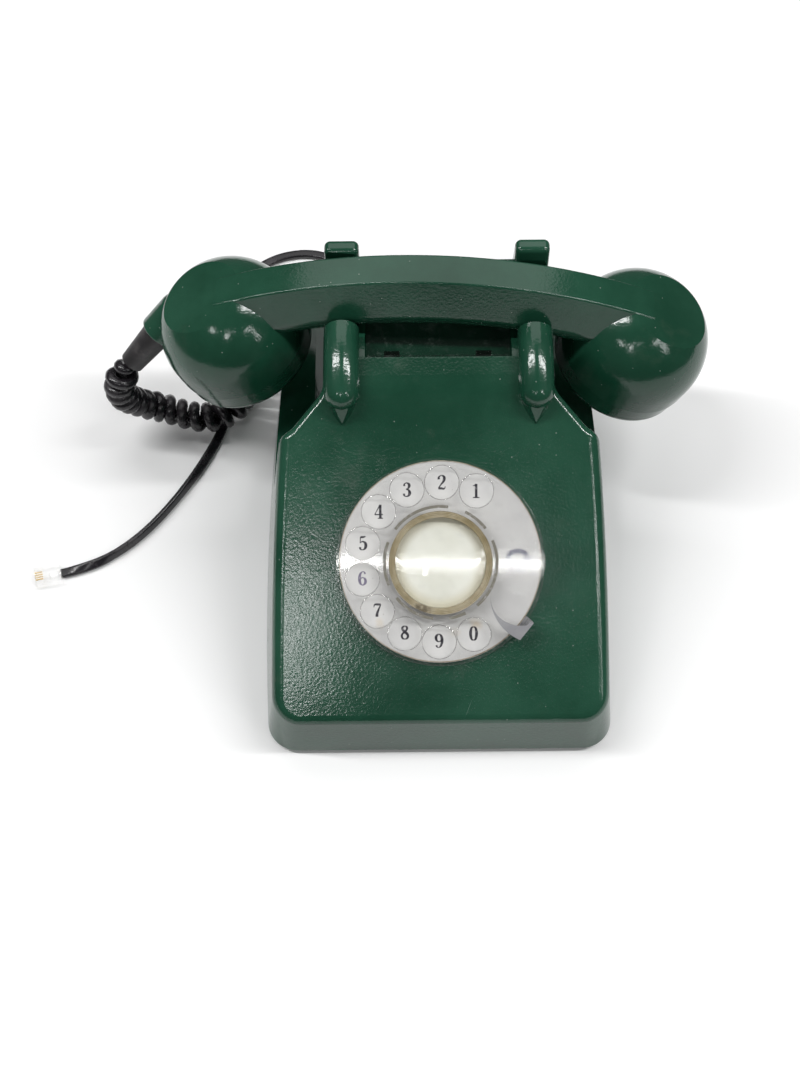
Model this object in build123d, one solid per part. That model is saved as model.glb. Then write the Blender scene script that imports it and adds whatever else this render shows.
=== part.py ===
"""Desk telephone with a rotary dial, a lift-off handset, a curly handset cord and a short line cord.

Frame: millimetres, +X to the user's right, +Y to the back, +Z up. The origin is on the table, under the
middle of the telephone without its cords.
"""
from build123d import *
from math import cos, pi, radians, sin, tan
import os

# ---------------------------------------------------------------- driving dimensions
FRONT_Y, REAR_Y = -110.2, 108.0      # the case at table level
HALF_WIDTH_FRONT, HALF_WIDTH_MIDDLE, HALF_WIDTH_REAR = 77.0, 80.5, 75.0
CASE_FOOT_Z = 3.0                    # the case hangs this far above the table, on its feet
SIDE_DRAFT = 0.13                    # how far each side leans in, per unit of height
CORNER_RADIUS = 14.0
RIM_RADIUS = 5.5                     # the rounding round the face and the shelf
LIP_TOP_Y, LIP_TOP_Z = -106.6, 31.938  # the front lip's upper edge
FACE_TILT = 30.0                     # the dial face, above horizontal
FACE_LENGTH = 144.924                # along the slope, from the lip to the shelf
SHELF_Z = 107.0                      # the top of the case, round the cradle bar
REAR_LEAN = 0.225                    # how far the rear wall leans in, per unit of height
CASE_WALL = 2.8
NECK_HALF_WIDTH, SCOOP_FLOOR_Z = 49.5, 54.0

DIAL_ALONG_FACE = 69.324             # from the lip to the dial's centre
WHEEL_RADIUS = 44.3
HOLE_RADIUS = 7.1
HOLE_CIRCLE = 34.0
HOLE_PITCH = 360.0 / 14
FIRST_HOLE = 63.0                    # digit 1's place, anticlockwise from the right
STOP_ANGLE = -39.0
HUB_RADIUS = 24.6
LABEL_RADIUS = 19.2

PRONG_X, PRONG_WIDTH = 41.3, 15.0
HANDSET_X, HANDSET_Y = -1.5, 57.0
HANDSET_YAW = -2.7                   # it lies a little askew in its cradle
HANDLE_TOP_Z = 134.0
HANDLE_HEIGHT = 26.7
HANDLE_ARC = 225.0                   # radius of the handle's back
HANDLE_TOP_HALF, HANDLE_HALF = 7.2, 14.5
BULB_X, BULB_Z, BULB_RADIUS = 90.0, 85.0, 32.5
BACK_STEP = 0.3                      # the bulbs' flattened backs lie this far under the handle's
CAP_TILT = 20.0                      # the ear and mouth caps face each other a little

BASE_TOP_Z = 5.6                     # the base plate's upper face
BAR_HALF, BAR_FRONT_Y, BAR_REAR_Y = 31.0, 31.8, 60.5
BAR_TOP_Z, BAR_THICK = 104.4, 4.0
STEM_X, STEM_Y = 20.0, 38.0
LEVER_PIVOT_Y, LEVER_PIVOT_Z = 54.0, 82.0
MAIN_TEETH, PINION_TEETH, GEAR_MODULE = 48, 12, 1.0
GONG_X, GONG_Y, GONG_RADIUS = 29.5, 74.0, 24.0
HAMMER_PIVOT_Y, HAMMER_Z = 48.0, 22.0

WIRE_Z = 14.0                        # height of the cords' glands in the rear wall
LINE_GLAND_X, CURLY_GLAND_X = -30.0, -58.0
CURLY_DIAMETER, LINE_DIAMETER = 15.0, 3.0
GLAND_FACE_Y = 110.6

# The handset cord's centreline, from the handset's boot to the gland in the rear wall.
CURLY_ROUTE = [
    (-140.4, 58.2, 63.3), (-147.2, 55.0, 56.0), (-150.0, 55.5, 42.0), (-146.0, 60.0, 26.0),
    (-135.0, 63.5, 15.5), (-121.0, 59.5, 13.6), (-108.0, 57.5, 13.6), (-97.5, 64.0, 12.6),
    (-92.0, 82.0, 9.6), (-92.5, 103.0, 8.4), (-87.0, 124.0, 8.6), (-73.0, 135.5, 10.8),
    (-59.5, 128.5, 14.0), (-58.0, 111.3, 14.0),
]
# The line cord's centreline, from its gland to the plug that lies on the table.
LINE_ROUTE = [
    (-30.0, 111.3, 14.0), (-30.5, 121.5, 12.4), (-31.5, 133.0, 6.4), (-35.0, 146.5, 2.2),
    (-46.0, 161.0, 1.7), (-65.0, 168.0, 1.7), (-86.0, 162.5, 1.7), (-101.0, 146.5, 1.7),
    (-107.5, 124.0, 1.7), (-107.0, 101.0, 1.7), (-103.0, 80.5, 1.7), (-104.2, 60.5, 1.7),
    (-113.0, 40.0, 1.7), (-124.5, 20.5, 1.7), (-138.0, 2.5, 1.7), (-151.0, -9.4, 1.7),
    (-164.5, -17.2, 1.7), (-178.5, -20.5, 1.7),
]
LINE_END_HEADING = 13.3              # how far the line cord's end is turned from the X axis

FACE_SIN, FACE_COS = sin(radians(FACE_TILT)), cos(radians(FACE_TILT))


def on_face(along, x=0.0, above=0.0):
    """A point on the dial face: along the slope from the lip, across, and above the surface."""
    return Vector(
        x,
        LIP_TOP_Y + along * FACE_COS - above * FACE_SIN,
        LIP_TOP_Z + along * FACE_SIN + above * FACE_COS,
    )


FACE_NORMAL = Vector(0, -FACE_SIN, FACE_COS)
DIAL = Plane(origin=on_face(DIAL_ALONG_FACE), x_dir=(1, 0, 0), z_dir=FACE_NORMAL)
BREAK = on_face(FACE_LENGTH)
HANDSET = Pos(HANDSET_X, HANDSET_Y, 0) * Rot(0, 0, HANDSET_YAW)


# ---------------------------------------------------------------- small helpers
def box_between(low, high):
    """A box from its lowest to its highest corner."""
    size = [b - a for a, b in zip(low, high)]
    middle = [(a + b) / 2 for a, b in zip(low, high)]
    return Pos(*middle) * Box(*size)


def rod(radius, start, end):
    """A cylinder from one point to another."""
    start, end = Vector(*start), Vector(*end)
    plane = Plane(origin=start, z_dir=end - start)
    return extrude(plane * Circle(radius), (end - start).length)


def disc(radius, low, high, x=0.0, y=0.0):
    """A cylinder along Z."""
    return extrude(Pos(x, y, low) * Circle(radius), high - low)


def ring(outer, inner, low, high, x=0.0, y=0.0):
    """A flat ring about an axis along Z."""
    return disc(outer, low, high, x, y) - disc(inner, low - 1, high + 1, x, y)


def both_sides(shape):
    """A shape and its mirror image."""
    return shape + mirror(shape, about=Plane.YZ)


def around(shape, count, start=0.0):
    """Copies of a shape about Z."""
    return [Rot(0, 0, start + 360 * n / count) * shape for n in range(count)]


def polar(radius, angle, z=0.0):
    """A point about Z, from its radius and its angle in degrees."""
    return (radius * cos(radians(angle)), radius * sin(radians(angle)), z)


def creases(solid, least=22.0):
    """The edges where two faces meet at more than this angle."""
    faces_of = {}
    for face in solid.faces():
        for edge in face.edges():
            faces_of.setdefault(hash(edge), []).append((edge, face))
    found = []
    for pairs in faces_of.values():
        if len(pairs) != 2 or pairs[0][0].length < 0.05:
            continue
        middle = pairs[0][0].position_at(0.5)
        turn = pairs[0][1].normal_at(middle).get_angle(pairs[1][1].normal_at(middle))
        if turn > least:
            found.append(pairs[0][0])
    return found


def softened(shape, edges, radius):
    """Edges rounded, at the largest of a few radii that the kernel can make."""
    for share in (1.0, 0.8, 0.6, 0.4):
        try:
            made = fillet(edges, radius * share)
        except ValueError:
            continue
        if made.is_valid:
            return made
    print("  not rounded:", len(edges), "edges, radius", radius)
    return shape


def gear(teeth, module, low, high, bore):
    """A spur gear about Z with straight-sided teeth, thin enough to run with backlash."""
    pitch = module * teeth / 2
    root, tip = pitch - 1.2 * module, pitch + 0.78 * module
    step = 360 / teeth
    points = []
    for n in range(teeth):
        for share, radius in ((-0.27, root), (-0.10, tip), (0.10, tip), (0.27, root)):
            points.append(polar(radius, step * (n + share))[:2])
    outline = make_face(Polyline(*points, close=True))
    blank = extrude(Pos(0, 0, low) * outline, high - low)
    return blank - disc(bore, low - 1, high + 1) if bore else blank


# ---------------------------------------------------------------- case
def below_the_top(inset=0.0):
    """Everything under the dial face and the shelf. The inset lowers it."""
    rise = inset / FACE_COS
    far = 140.0
    start_z = LIP_TOP_Z - (far + LIP_TOP_Y) * tan(radians(FACE_TILT)) - rise
    corners = [
        (-far, -far), (-far, start_z), (BREAK.Y + 0.3 * inset, BREAK.Z + 0.3 * inset * 0.577 - rise),
        (33.0, SHELF_Z - inset), (far, SHELF_Z - inset), (far, -far),
    ]
    face = make_face(Polyline(*corners, close=True))
    for index in (2, 3):
        near = sorted(face.vertices(), key=lambda v: (Vector(*corners[index]) - v.center()).length)
        face = fillet(near[0], 25.0)
    return extrude(Plane.YZ * face, 100, both=True)


def plan_outline(z, inset=0.0):
    """The case seen from above at a height: sides that bow a little, and round corners."""
    lean = SIDE_DRAFT * z + inset
    front = FRONT_Y + inset + (LIP_TOP_Y - FRONT_Y) / LIP_TOP_Z * z
    rear = REAR_Y - inset - REAR_LEAN * z
    widths = (HALF_WIDTH_FRONT, HALF_WIDTH_MIDDLE, HALF_WIDTH_REAR)
    x_front, x_middle, x_rear = (width - lean for width in widths)
    right = ThreePointArc((x_front, front), (x_middle, -8), (x_rear, rear))
    left = ThreePointArc((-x_rear, rear), (-x_middle, -8), (-x_front, front))
    back, bow = Line((x_rear, rear), (-x_rear, rear)), Line((-x_front, front), (x_front, front))
    face = make_face(right + back + left + bow)
    return Pos(0, 0, z) * fillet(face.vertices(), max(CORNER_RADIUS - 0.04 * z - inset, 2.5))


def leaning_walls(inset=0.0, foot=CASE_FOOT_Z):
    """The case's four leaning walls."""
    return loft([plan_outline(foot, inset), plan_outline(125.0, inset)], ruled=True)


def handset_scoop(grow=0.0):
    """What is cut from each side of the neck, so that the ear and mouth caps hang clear."""
    neck, floor = NECK_HALF_WIDTH - grow, SCOOP_FLOOR_Z - grow
    plan = FilletPolyline(
        (neck, 135), (neck, 19 - grow), (64.5, 3.5 - grow), (105, -4 - grow), (105, 135), close=True, radius=7.0
    )
    section = Polyline((20, floor), (56, floor), (105, floor - 11), (105, 160), (20, 160), close=True)
    half = extrude(make_face(plan), 160) & extrude(Plane.XZ * make_face(section), 150, both=True)
    return both_sides(half)


def front_prong():
    """A ridge with a pointed bow that climbs the face and stops in front of the handset."""
    half = PRONG_WIDTH / 2
    plan = make_face(
        ThreePointArc((-half, 17), (-half * 0.66, 10), (0, 4))
        + ThreePointArc((0, 4), (half * 0.66, 10), (half, 17))
        + Polyline((half, 17), (half, 41.5), (-half, 41.5), (-half, 17))
    )
    spine = [(0, 14.0, 105.7), (0, 20.0, 108.3), (0, 29.0, 111.0), (0, 41.5, 112.3)]
    profile = make_face(
        Polyline((41.5, 85), (-2, 85), (3.0, 94.6), (6.8, 105.0), *[point[1:] for point in spine], (41.5, 85))
    )
    ridge = extrude(Pos(0, 0, 80) * plan, 60) & extrude(Plane.YZ * profile, 20, both=True)
    path = Spline(*[Vector(*point) for point in spine])
    ridge += sweep(Plane(origin=path @ 0, z_dir=path % 0) * Circle(half), path=path)
    ridge += Pos(*spine[0]) * Sphere(half)
    return Pos(PRONG_X, 0, 0) * ridge


def rear_prong():
    """An upright horn behind the handset, round on top."""
    profile = make_face(
        Polyline((72.6, 90), (72.9, 118), (74.0, 124.2), (80.2, 124.2), (84.6, 106), (86, 90), close=True)
    )
    horn = extrude(Plane.YZ * profile, PRONG_WIDTH / 2, both=True)
    rim = [e for e in horn.edges() if e.center().Z > 112]
    return Pos(PRONG_X, 0, 0) * softened(horn, rim, 2.6)


def handle_clearance():
    """The round valley that the handset's handle lies in, a little larger than the handle."""
    under = HANDLE_ARC - HANDLE_HEIGHT + 0.45
    above = Pos(0, 0, 130) * Box(140, 2 * HANDLE_HALF + 1.2, 60)
    barrel = rod(under, (0, -40, HANDLE_TOP_Z - HANDLE_ARC), (0, 40, HANDLE_TOP_Z - HANDLE_ARC))
    return HANDSET * (above - Pos(0, 0, -0.9) * barrel)


WELL_LOW = (-BAR_HALF - 0.5, BAR_FRONT_Y - 0.5, 98.0)
WELL_HIGH = (BAR_HALF + 0.5, 62.0, 130.0)
POCKET_LOW = (-30.0, 66.0, 68.0)
POCKET_HIGH = (30.0, 120.0, 94.0)
BOSSES = [(65.0, -74.0), (-65.0, -74.0), (64.0, 88.0), (-64.0, 88.0)]
DIAL_OPENING = 38.2
GROMMET_RADIUS = 5.0
GLAND_BOSS_RADIUS, GLAND_WALL_Y = 9.0, 108.4


def grown(low, high, by):
    """A box that is larger by a wall on every side."""
    return box_between([a - by for a in low], [b + by for b in high])


def case_shell():
    """The moulded housing: lip, dial face, shelf, neck, prongs and the carrying pocket at the back."""
    outer = below_the_top() & leaning_walls()
    outer = softened(outer, [e for e in creases(outer) if e.center().Z > 12], RIM_RADIUS)
    outer = outer - handset_scoop()
    outer = softened(outer, shoulder_edges(outer), 3.5)
    outer = outer + both_sides(front_prong()) + both_sides(rear_prong())
    outer = outer + [
        rod(GLAND_BOSS_RADIUS, (x, 98, WIRE_Z), (x, GLAND_WALL_Y, WIRE_Z)) for x in (LINE_GLAND_X, CURLY_GLAND_X)
    ]
    inner = below_the_top(CASE_WALL) & leaning_walls(CASE_WALL, -5.0)
    inner = inner - handset_scoop(CASE_WALL)
    inner = inner - grown(WELL_LOW, WELL_HIGH, CASE_WALL) - grown(POCKET_LOW, POCKET_HIGH, CASE_WALL)
    for x, y in BOSSES:
        inner = inner - disc(4.5, BASE_TOP_Z, 120, x, y)
    pocket = box_between(POCKET_LOW, POCKET_HIGH)
    pocket = fillet(pocket.edges().filter_by(Axis.Y), 6.0)
    shell = outer - inner - box_between(WELL_LOW, WELL_HIGH) - pocket - handle_clearance()
    shell -= extrude(DIAL * Circle(DIAL_OPENING), 20, both=True)
    shell -= both_sides(box_between((STEM_X - 3.4, STEM_Y - 2.1, 90), (STEM_X + 3.4, STEM_Y + 2.1, 99)))
    for x, y in BOSSES:
        shell -= disc(1.5, 0, BASE_TOP_Z + 10, x, y)
    for x in (LINE_GLAND_X, CURLY_GLAND_X):
        shell -= rod(GROMMET_RADIUS, (x, 95, WIRE_Z), (x, 115, WIRE_Z))
    return shell


def shoulder_edges(solid):
    """The edges of the two scoops, without their floors and their rear ends."""
    return [
        e for e in creases(solid)
        if e.center().Z > SCOOP_FLOOR_Z + 2 and e.center().Y < 86 and 45 < abs(e.center().X) < 78
    ]


def base_plate():
    """The pressed steel bottom, with its screw holes and a row of bell slots."""
    outline = plan_outline(BASE_TOP_Z, CASE_WALL + 0.4)
    plate = extrude(outline, -2.0)
    for x, y in BOSSES + FEET:
        plate -= disc(2.0 if (x, y) in BOSSES else 3.0, 0, 10, x, y)
    for n in range(7):
        plate -= Pos(-30 + 10 * n, 92, BASE_TOP_Z) * Box(3, 10, 9)
    return plate


FEET = [(56.0, -90.0), (-56.0, -90.0), (48.0, 96.0), (-48.0, 96.0)]


def rubber_feet():
    """Four push-in feet."""
    return [
        disc(7.5, 0.0, BASE_TOP_Z - 2.0, x, y) + disc(3.0, 2, BASE_TOP_Z + 1.2, x, y)
        + disc(4.2, BASE_TOP_Z, BASE_TOP_Z + 1.4, x, y)
        for x, y in FEET
    ]


def case_screws():
    """Four screws from below, up into the case's bosses."""
    return [
        disc(3.6, 1.6, BASE_TOP_Z - 2.0, x, y) + disc(1.5, 2, BASE_TOP_Z + 9, x, y) for x, y in BOSSES
    ]


# ---------------------------------------------------------------- dial, in the plane of the face
def number_plate():
    """The opal plate under the finger holes, with the skirt that seats in the case's opening."""
    plate = ring(43.2, 20.0, 0.4, 2.6)
    skirt = ring(DIAL_OPENING - 0.4, 35.2, -7.0, 1.0)
    return plate + skirt


def finger_wheel():
    """The clear wheel with ten finger holes, a raised rim, and a raised ring round the label."""
    wheel = disc(WHEEL_RADIUS, 3.4, 6.2)
    wheel += ring(WHEEL_RADIUS, WHEEL_RADIUS - 1.5, 5.0, 7.2)
    wheel += ring(HUB_RADIUS, LABEL_RADIUS + 1.4, 5.0, 8.0)
    for n in range(10):
        x, y, _ = polar(HOLE_CIRCLE, FIRST_HOLE + HOLE_PITCH * n)
        wheel -= disc(HOLE_RADIUS, 0, 10, x, y)
        wheel += ring(HOLE_RADIUS + 0.7, HOLE_RADIUS, 6.0, 6.7, x, y)
    wheel -= disc(LABEL_RADIUS + 1.4, 5.0, 10)
    return wheel - disc(3.0, 0, 10)


def label_card():
    """The round paper label."""
    return disc(LABEL_RADIUS, 5.05, 5.4)


def label_cover():
    """The domed clear window over the label."""
    rise = 2.6
    radius = (LABEL_RADIUS ** 2 + rise ** 2) / (2 * rise)
    dome = Pos(0, 0, 8.0 + rise - radius) * Sphere(radius)
    return (disc(LABEL_RADIUS, 5.45, 20) & dome) - disc(LABEL_RADIUS - 1.2, 5.0, 6.4)


def label_ring():
    """The metal ring that holds the window, with four lugs."""
    return ring(LABEL_RADIUS + 1.3, LABEL_RADIUS + 0.1, 5.0, 8.6)


def finger_stop():
    """A bent metal blade that reaches in over the wheel and narrows to a hooked tip."""
    blade = make_face(
        ThreePointArc((25.6, 1.6), (35.0, -2.6), (46.8, 4.6))
        + Line((46.8, 4.6), (46.8, -4.6))
        + ThreePointArc((46.8, -4.6), (36.0, -4.8), (25.6, 1.6))
    )
    stop = extrude(Pos(0, 0, 8.4) * blade, 1.2)
    stop += box_between((45.4, -4.6, 0.4), (46.8, 4.6, 9.0))
    stop += box_between((43.6, -4.6, 0.2), (46.8, 4.6, 1.4))
    return Rot(0, 0, STOP_ANGLE) * stop


def dial_back(low, high):
    """A round plate that carries the dial's shafts."""
    plate = disc(34.8, low, high) - disc(3.05, low - 1, high + 1)
    pinion_x, pinion_y, _ = polar(PINION_DISTANCE, PINION_ANGLE)
    return plate - disc(1.55, low - 1, high + 1, pinion_x, pinion_y)


PINION_DISTANCE = GEAR_MODULE * (MAIN_TEETH + PINION_TEETH) / 2 + 0.12
PINION_ANGLE = 90.0
PILLAR_ANGLES = (30.0, 174.0, 262.0, 325.0)


def dial_front_plate():
    """The dial's front plate, held in the number plate's skirt."""
    plate = dial_back(-6.6, -5.0)
    return plate


def dial_rear_plate():
    """The dial's rear plate."""
    ears = box_between((-35.9, -6, -29.0), (35.9, 6, -27.4)) - disc(34.0, -30, -27)
    return dial_back(-29.0, -27.4) + ears


def dial_pillars():
    """Four posts between the dial's two plates, with screw heads behind."""
    made = []
    for angle in PILLAR_ANGLES:
        x, y, _ = polar(31.5, angle)
        made.append(disc(2.0, -27.4, -6.6, x, y) + disc(3.0, -30.4, -29.0, x, y))
    return made


def main_shaft():
    """The wheel's shaft, with its shoulder and the drum that the spring winds on."""
    shaft = disc(3.0, -29.0, 5.0)
    shaft += disc(6.0, -4.6, 3.3)
    shaft += disc(6.5, -22.0, -13.0)
    return shaft


def main_gear():
    """The large gear behind the front plate."""
    wheel = gear(MAIN_TEETH, GEAR_MODULE, -11.0, -9.0, 3.0)
    for part in around(disc(4.0, -12, -8, 14.0, 0), 5):
        wheel -= part
    return wheel


def return_spring():
    """The flat spiral that brings the wheel back."""
    points = [polar(8.0 + 1.3 * step / 12, 30 * step, -17.5) for step in range(3 * 12 + 1)]
    path = Spline(*points)
    strip = sweep(Plane(origin=path @ 0, x_dir=(0, 0, 1), z_dir=path % 0) * Rectangle(5.0, 0.4), path=path)
    anchor = box_between((11.7, -1.0, -27.4), (13.2, 1.0, -15.0))
    return strip + anchor


def pinion_shaft():
    """The fast shaft with its pinion and the cam that opens the pulse contacts."""
    half_tooth = 180 / PINION_TEETH
    wheel = Rot(0, 0, half_tooth + PINION_ANGLE - 180 - 360 / PINION_TEETH * 0.0) * gear(
        PINION_TEETH, GEAR_MODULE, -11.5, -8.5, 0
    )
    shaft = disc(1.5, -29.0, -5.0) + wheel
    shaft += disc(3.0, -25.0, -22.6)
    cam = (disc(3.4, -20.0, -18.0) & Box(6.8, 4.4, 60))
    return Pos(*polar(PINION_DISTANCE, PINION_ANGLE)) * (shaft + cam)


GOVERNOR_X, GOVERNOR_Z = 14.0, -23.8


def governor_shaft():
    """The governor's spindle across the dial's back, with its worm's thicker part and two weights."""
    y = PINION_DISTANCE - 6.4
    start, end = (GOVERNOR_X - 22.0, y, GOVERNOR_Z), (GOVERNOR_X + 8.0, y, GOVERNOR_Z)
    spindle = rod(0.9, start, end)
    spindle += rod(1.5, (-4.0, y, GOVERNOR_Z), (4.0, y, GOVERNOR_Z))
    for side in (-1, 1):
        spindle += Pos(GOVERNOR_X, y + side * 2.3, GOVERNOR_Z) * Box(3.0, 2.0, 2.0)
    spindle += Pos(GOVERNOR_X, y, GOVERNOR_Z) * Box(1.0, 5.0, 1.6)
    return spindle


def governor_frame():
    """The two bearings of the governor and the drum that its weights rub against."""
    y = PINION_DISTANCE - 6.4
    made = []
    for x in (GOVERNOR_X - 21.0, GOVERNOR_X + 6.5):
        block = Pos(x, y, GOVERNOR_Z) * Box(1.6, 4.6, 7.2)
        made.append(block - rod(0.95, (x - 3, y, GOVERNOR_Z), (x + 3, y, GOVERNOR_Z)))
    drum = rod(5.2, (GOVERNOR_X - 2.4, y, GOVERNOR_Z), (GOVERNOR_X + 2.4, y, GOVERNOR_Z))
    drum -= rod(4.3, (GOVERNOR_X - 3, y, GOVERNOR_Z), (GOVERNOR_X + 3, y, GOVERNOR_Z))
    drum = drum & box_between((-60, -60, -27.4), (60, 60, -10))
    return made + [drum]


def contact_stack(x, y, z, leaves, length, wide=6.0):
    """Contact springs in a block of insulators, the leaves along X."""
    block = Pos(x, y, z) * Box(8.0, wide, leaves * 3.0)
    springs = []
    for n in range(leaves):
        level = z + (n - (leaves - 1) / 2) * 3.0
        springs.append(box_between((x + 4.0, y - wide / 2, level - 0.2), (x + 4.0 + length, y + wide / 2, level + 0.2)))
        springs.append(disc(1.1, level - 0.9, level + 0.9, x + 2.5 + length, y))
    return block, springs


def pulse_contacts():
    """The contacts that the cam opens, once for each pulse."""
    block, springs = contact_stack(-26.0, 17.0, -19.0, 2, 18.0, 5.0)
    return [block] + springs


def off_normal_contacts():
    """The contacts that work while the wheel is away from rest."""
    block, springs = contact_stack(-16.0, -24.0, -20.0, 3, 20.0)
    return [block] + springs


def dial_bracket():
    """Two steel legs that carry the dial from the base plate."""
    front_y, back_y, below = -62.0, -8.0, 9.0
    tops = [LIP_TOP_Z + (y - LIP_TOP_Y) * tan(radians(FACE_TILT)) - below for y in (front_y, back_y)]
    side_view = Polyline(
        (front_y, BASE_TOP_Z), (front_y, tops[0]), (back_y, tops[1]), (back_y, BASE_TOP_Z), close=True
    )
    leg = Pos(36.6, 0, 0) * extrude(Plane.YZ * make_face(side_view), 0.7, both=True)
    foot = box_between((35.9, front_y, BASE_TOP_Z), (45.0, back_y, BASE_TOP_Z + 1.4))
    return both_sides(leg + foot)


# ---------------------------------------------------------------- cradle and gravity switch
def cradle_bar():
    """The clear bar that the handset presses down, with its rim and two stems."""
    bar = box_between((-BAR_HALF, BAR_FRONT_Y, BAR_TOP_Z - BAR_THICK), (BAR_HALF, BAR_REAR_Y, BAR_TOP_Z))
    bar = fillet(bar.edges().filter_by(Axis.Z), 2.0)
    hollow = box_between(
        (-BAR_HALF + 2, BAR_FRONT_Y + 2, BAR_TOP_Z - 1.2), (BAR_HALF - 2, BAR_REAR_Y - 2, BAR_TOP_Z + 1)
    )
    bar = bar - hollow
    stem = box_between((STEM_X - 3, STEM_Y - 1.7, LEVER_PIVOT_Z + 1.05), (STEM_X + 3, STEM_Y + 1.7, BAR_TOP_Z - 2))
    return bar + both_sides(stem)


def switch_bracket():
    """The steel upright that carries the gravity switch, with a window for the bell's hammer."""
    plate = box_between((-26, 57.0, 34.0), (26, 58.4, 90.0))
    plate += box_between((-11, 57.0, BASE_TOP_Z), (11, 58.4, 34.0)) - box_between((-5.5, 50, 10), (5.5, 65, 34))
    plate += box_between((-11, 57.0, BASE_TOP_Z), (11, 68.0, BASE_TOP_Z + 1.4))
    for side in (-1, 1):
        low_x = side * 27.0 - 0.7
        ear = box_between((low_x, LEVER_PIVOT_Y - 4, LEVER_PIVOT_Z - 5), (low_x + 1.4, 58.4, LEVER_PIVOT_Z + 5))
        plate += ear
    plate += box_between((-27.7, 57.0, LEVER_PIVOT_Z - 5), (27.7, 58.4, LEVER_PIVOT_Z + 5))
    plate += box_between((-5, 40.0, 62.0), (5, 58.0, 63.4))
    pin = rod(1.05, (-40, LEVER_PIVOT_Y, LEVER_PIVOT_Z), (40, LEVER_PIVOT_Y, LEVER_PIVOT_Z))
    return plate - pin


def switch_lever():
    """The rocking plate under the bar's stems, with its pivot pin and a finger for the contacts."""
    plate = box_between((-25.6, 34.6, LEVER_PIVOT_Z - 0.75), (25.6, LEVER_PIVOT_Y + 1.5, LEVER_PIVOT_Z + 0.75))
    pin = rod(1.0, (-28.4, LEVER_PIVOT_Y, LEVER_PIVOT_Z), (28.4, LEVER_PIVOT_Y, LEVER_PIVOT_Z))
    barrel = rod(2.2, (-25.6, LEVER_PIVOT_Y, LEVER_PIVOT_Z), (25.6, LEVER_PIVOT_Y, LEVER_PIVOT_Z))
    finger = box_between((14.0, 34.6, LEVER_PIVOT_Z - 6.4), (18.0, 36.0, LEVER_PIVOT_Z))
    return plate + barrel + pin + finger


def switch_springs():
    """The gravity switch's contact springs, under the lever."""
    block = box_between((10.0, 49.0, 64.5), (24.0, 57.0, 75.5))
    springs = []
    for n in range(3):
        level = 66.5 + 3.4 * n
        springs.append(box_between((12.0, 33.5, level), (22.0, 49.0, level + 0.4)))
        springs.append(disc(1.2, level - 0.8, level + 1.2, 17.0, 35.5))
    return [block] + springs


def switch_return_spring():
    """The coil spring that lifts the lever and the bar."""
    coil = Helix(pitch=3.0, height=16.0, radius=3.0)
    wire = sweep((Plane(origin=coil @ 0, z_dir=coil % 0)) * Circle(0.4), path=coil, is_frenet=True)
    return Pos(0, 46.0, 64.2) * wire


# ---------------------------------------------------------------- bell
def gong(side):
    """One of the two gongs: a shallow bell, open below."""
    outer = Sphere(GONG_RADIUS) & box_between((-40, -40, 0), (40, 40, 40))
    inner = Sphere(GONG_RADIUS - 1.5) & box_between((-40, -40, -1), (40, 40, 40))
    shell = (outer - inner) & box_between((-40, -40, 0), (40, 40, 40))
    flat = Pos(side * GONG_X, GONG_Y, 13.0) * scale(shell, by=(1, 1, 0.62))
    return flat - disc(2.0, 0, 60, side * GONG_X, GONG_Y)


GONG_TOP_Z = 13.0 + 0.62 * GONG_RADIUS


def gong_posts():
    """The two posts that carry the gongs, with their screws on top."""
    made = []
    for side in (-1, 1):
        x = side * GONG_X
        post = disc(4.0, BASE_TOP_Z, GONG_TOP_Z - 1.6, x, GONG_Y) + disc(2.0, BASE_TOP_Z, GONG_TOP_Z, x, GONG_Y)
        post += disc(4.2, GONG_TOP_Z + 0.02, GONG_TOP_Z + 2.0, x, GONG_Y) + disc(2.0, 20, GONG_TOP_Z + 1, x, GONG_Y)
        made.append(post)
    return made


COIL_X, COIL_FRONT_Y, COIL_REAR_Y = 12.0, 16.0, 42.0


def ringer_frame():
    """The steel yoke of the bell: a foot, a back plate and the hammer's two bearings."""
    back = box_between((-23, 13.4, BASE_TOP_Z), (23, COIL_FRONT_Y, 34.0))
    foot = box_between((-23, 13.4, BASE_TOP_Z), (23, 53.0, BASE_TOP_Z + 1.8))
    arm = box_between((-3.5, 13.4, 34.0), (3.5, 53.0, 36.0)) + box_between((-3.5, 13.4, 30.0), (3.5, 16.0, 36.0))
    frame = back + foot + arm
    return frame - disc(1.25, 0, 60, 0, HAMMER_PIVOT_Y)


def ringer_coil(side):
    """One coil of the bell, between two cheeks."""
    x = side * COIL_X
    made = rod(9.0, (x, COIL_FRONT_Y + 1.6, HAMMER_Z), (x, COIL_REAR_Y - 1.6, HAMMER_Z))
    for y in (COIL_FRONT_Y, COIL_REAR_Y - 1.6):
        made += box_between((x - 10, y, HAMMER_Z - 10), (x + 10, y + 1.6, HAMMER_Z + 10))
    return made - rod(4.0, (x, 0, HAMMER_Z), (x, 60, HAMMER_Z))


def ringer_cores():
    """The two soft iron cores."""
    return [
        rod(4.0, (side * COIL_X, COIL_FRONT_Y, HAMMER_Z), (side * COIL_X, COIL_REAR_Y + 1.0, HAMMER_Z))
        for side in (-1, 1)
    ]


def ringer_magnet():
    """The bar magnet under the armature's bearing."""
    return box_between((-4.5, 22.0, 32.4 + 3.6), (4.5, 46.0, 41.0))


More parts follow.
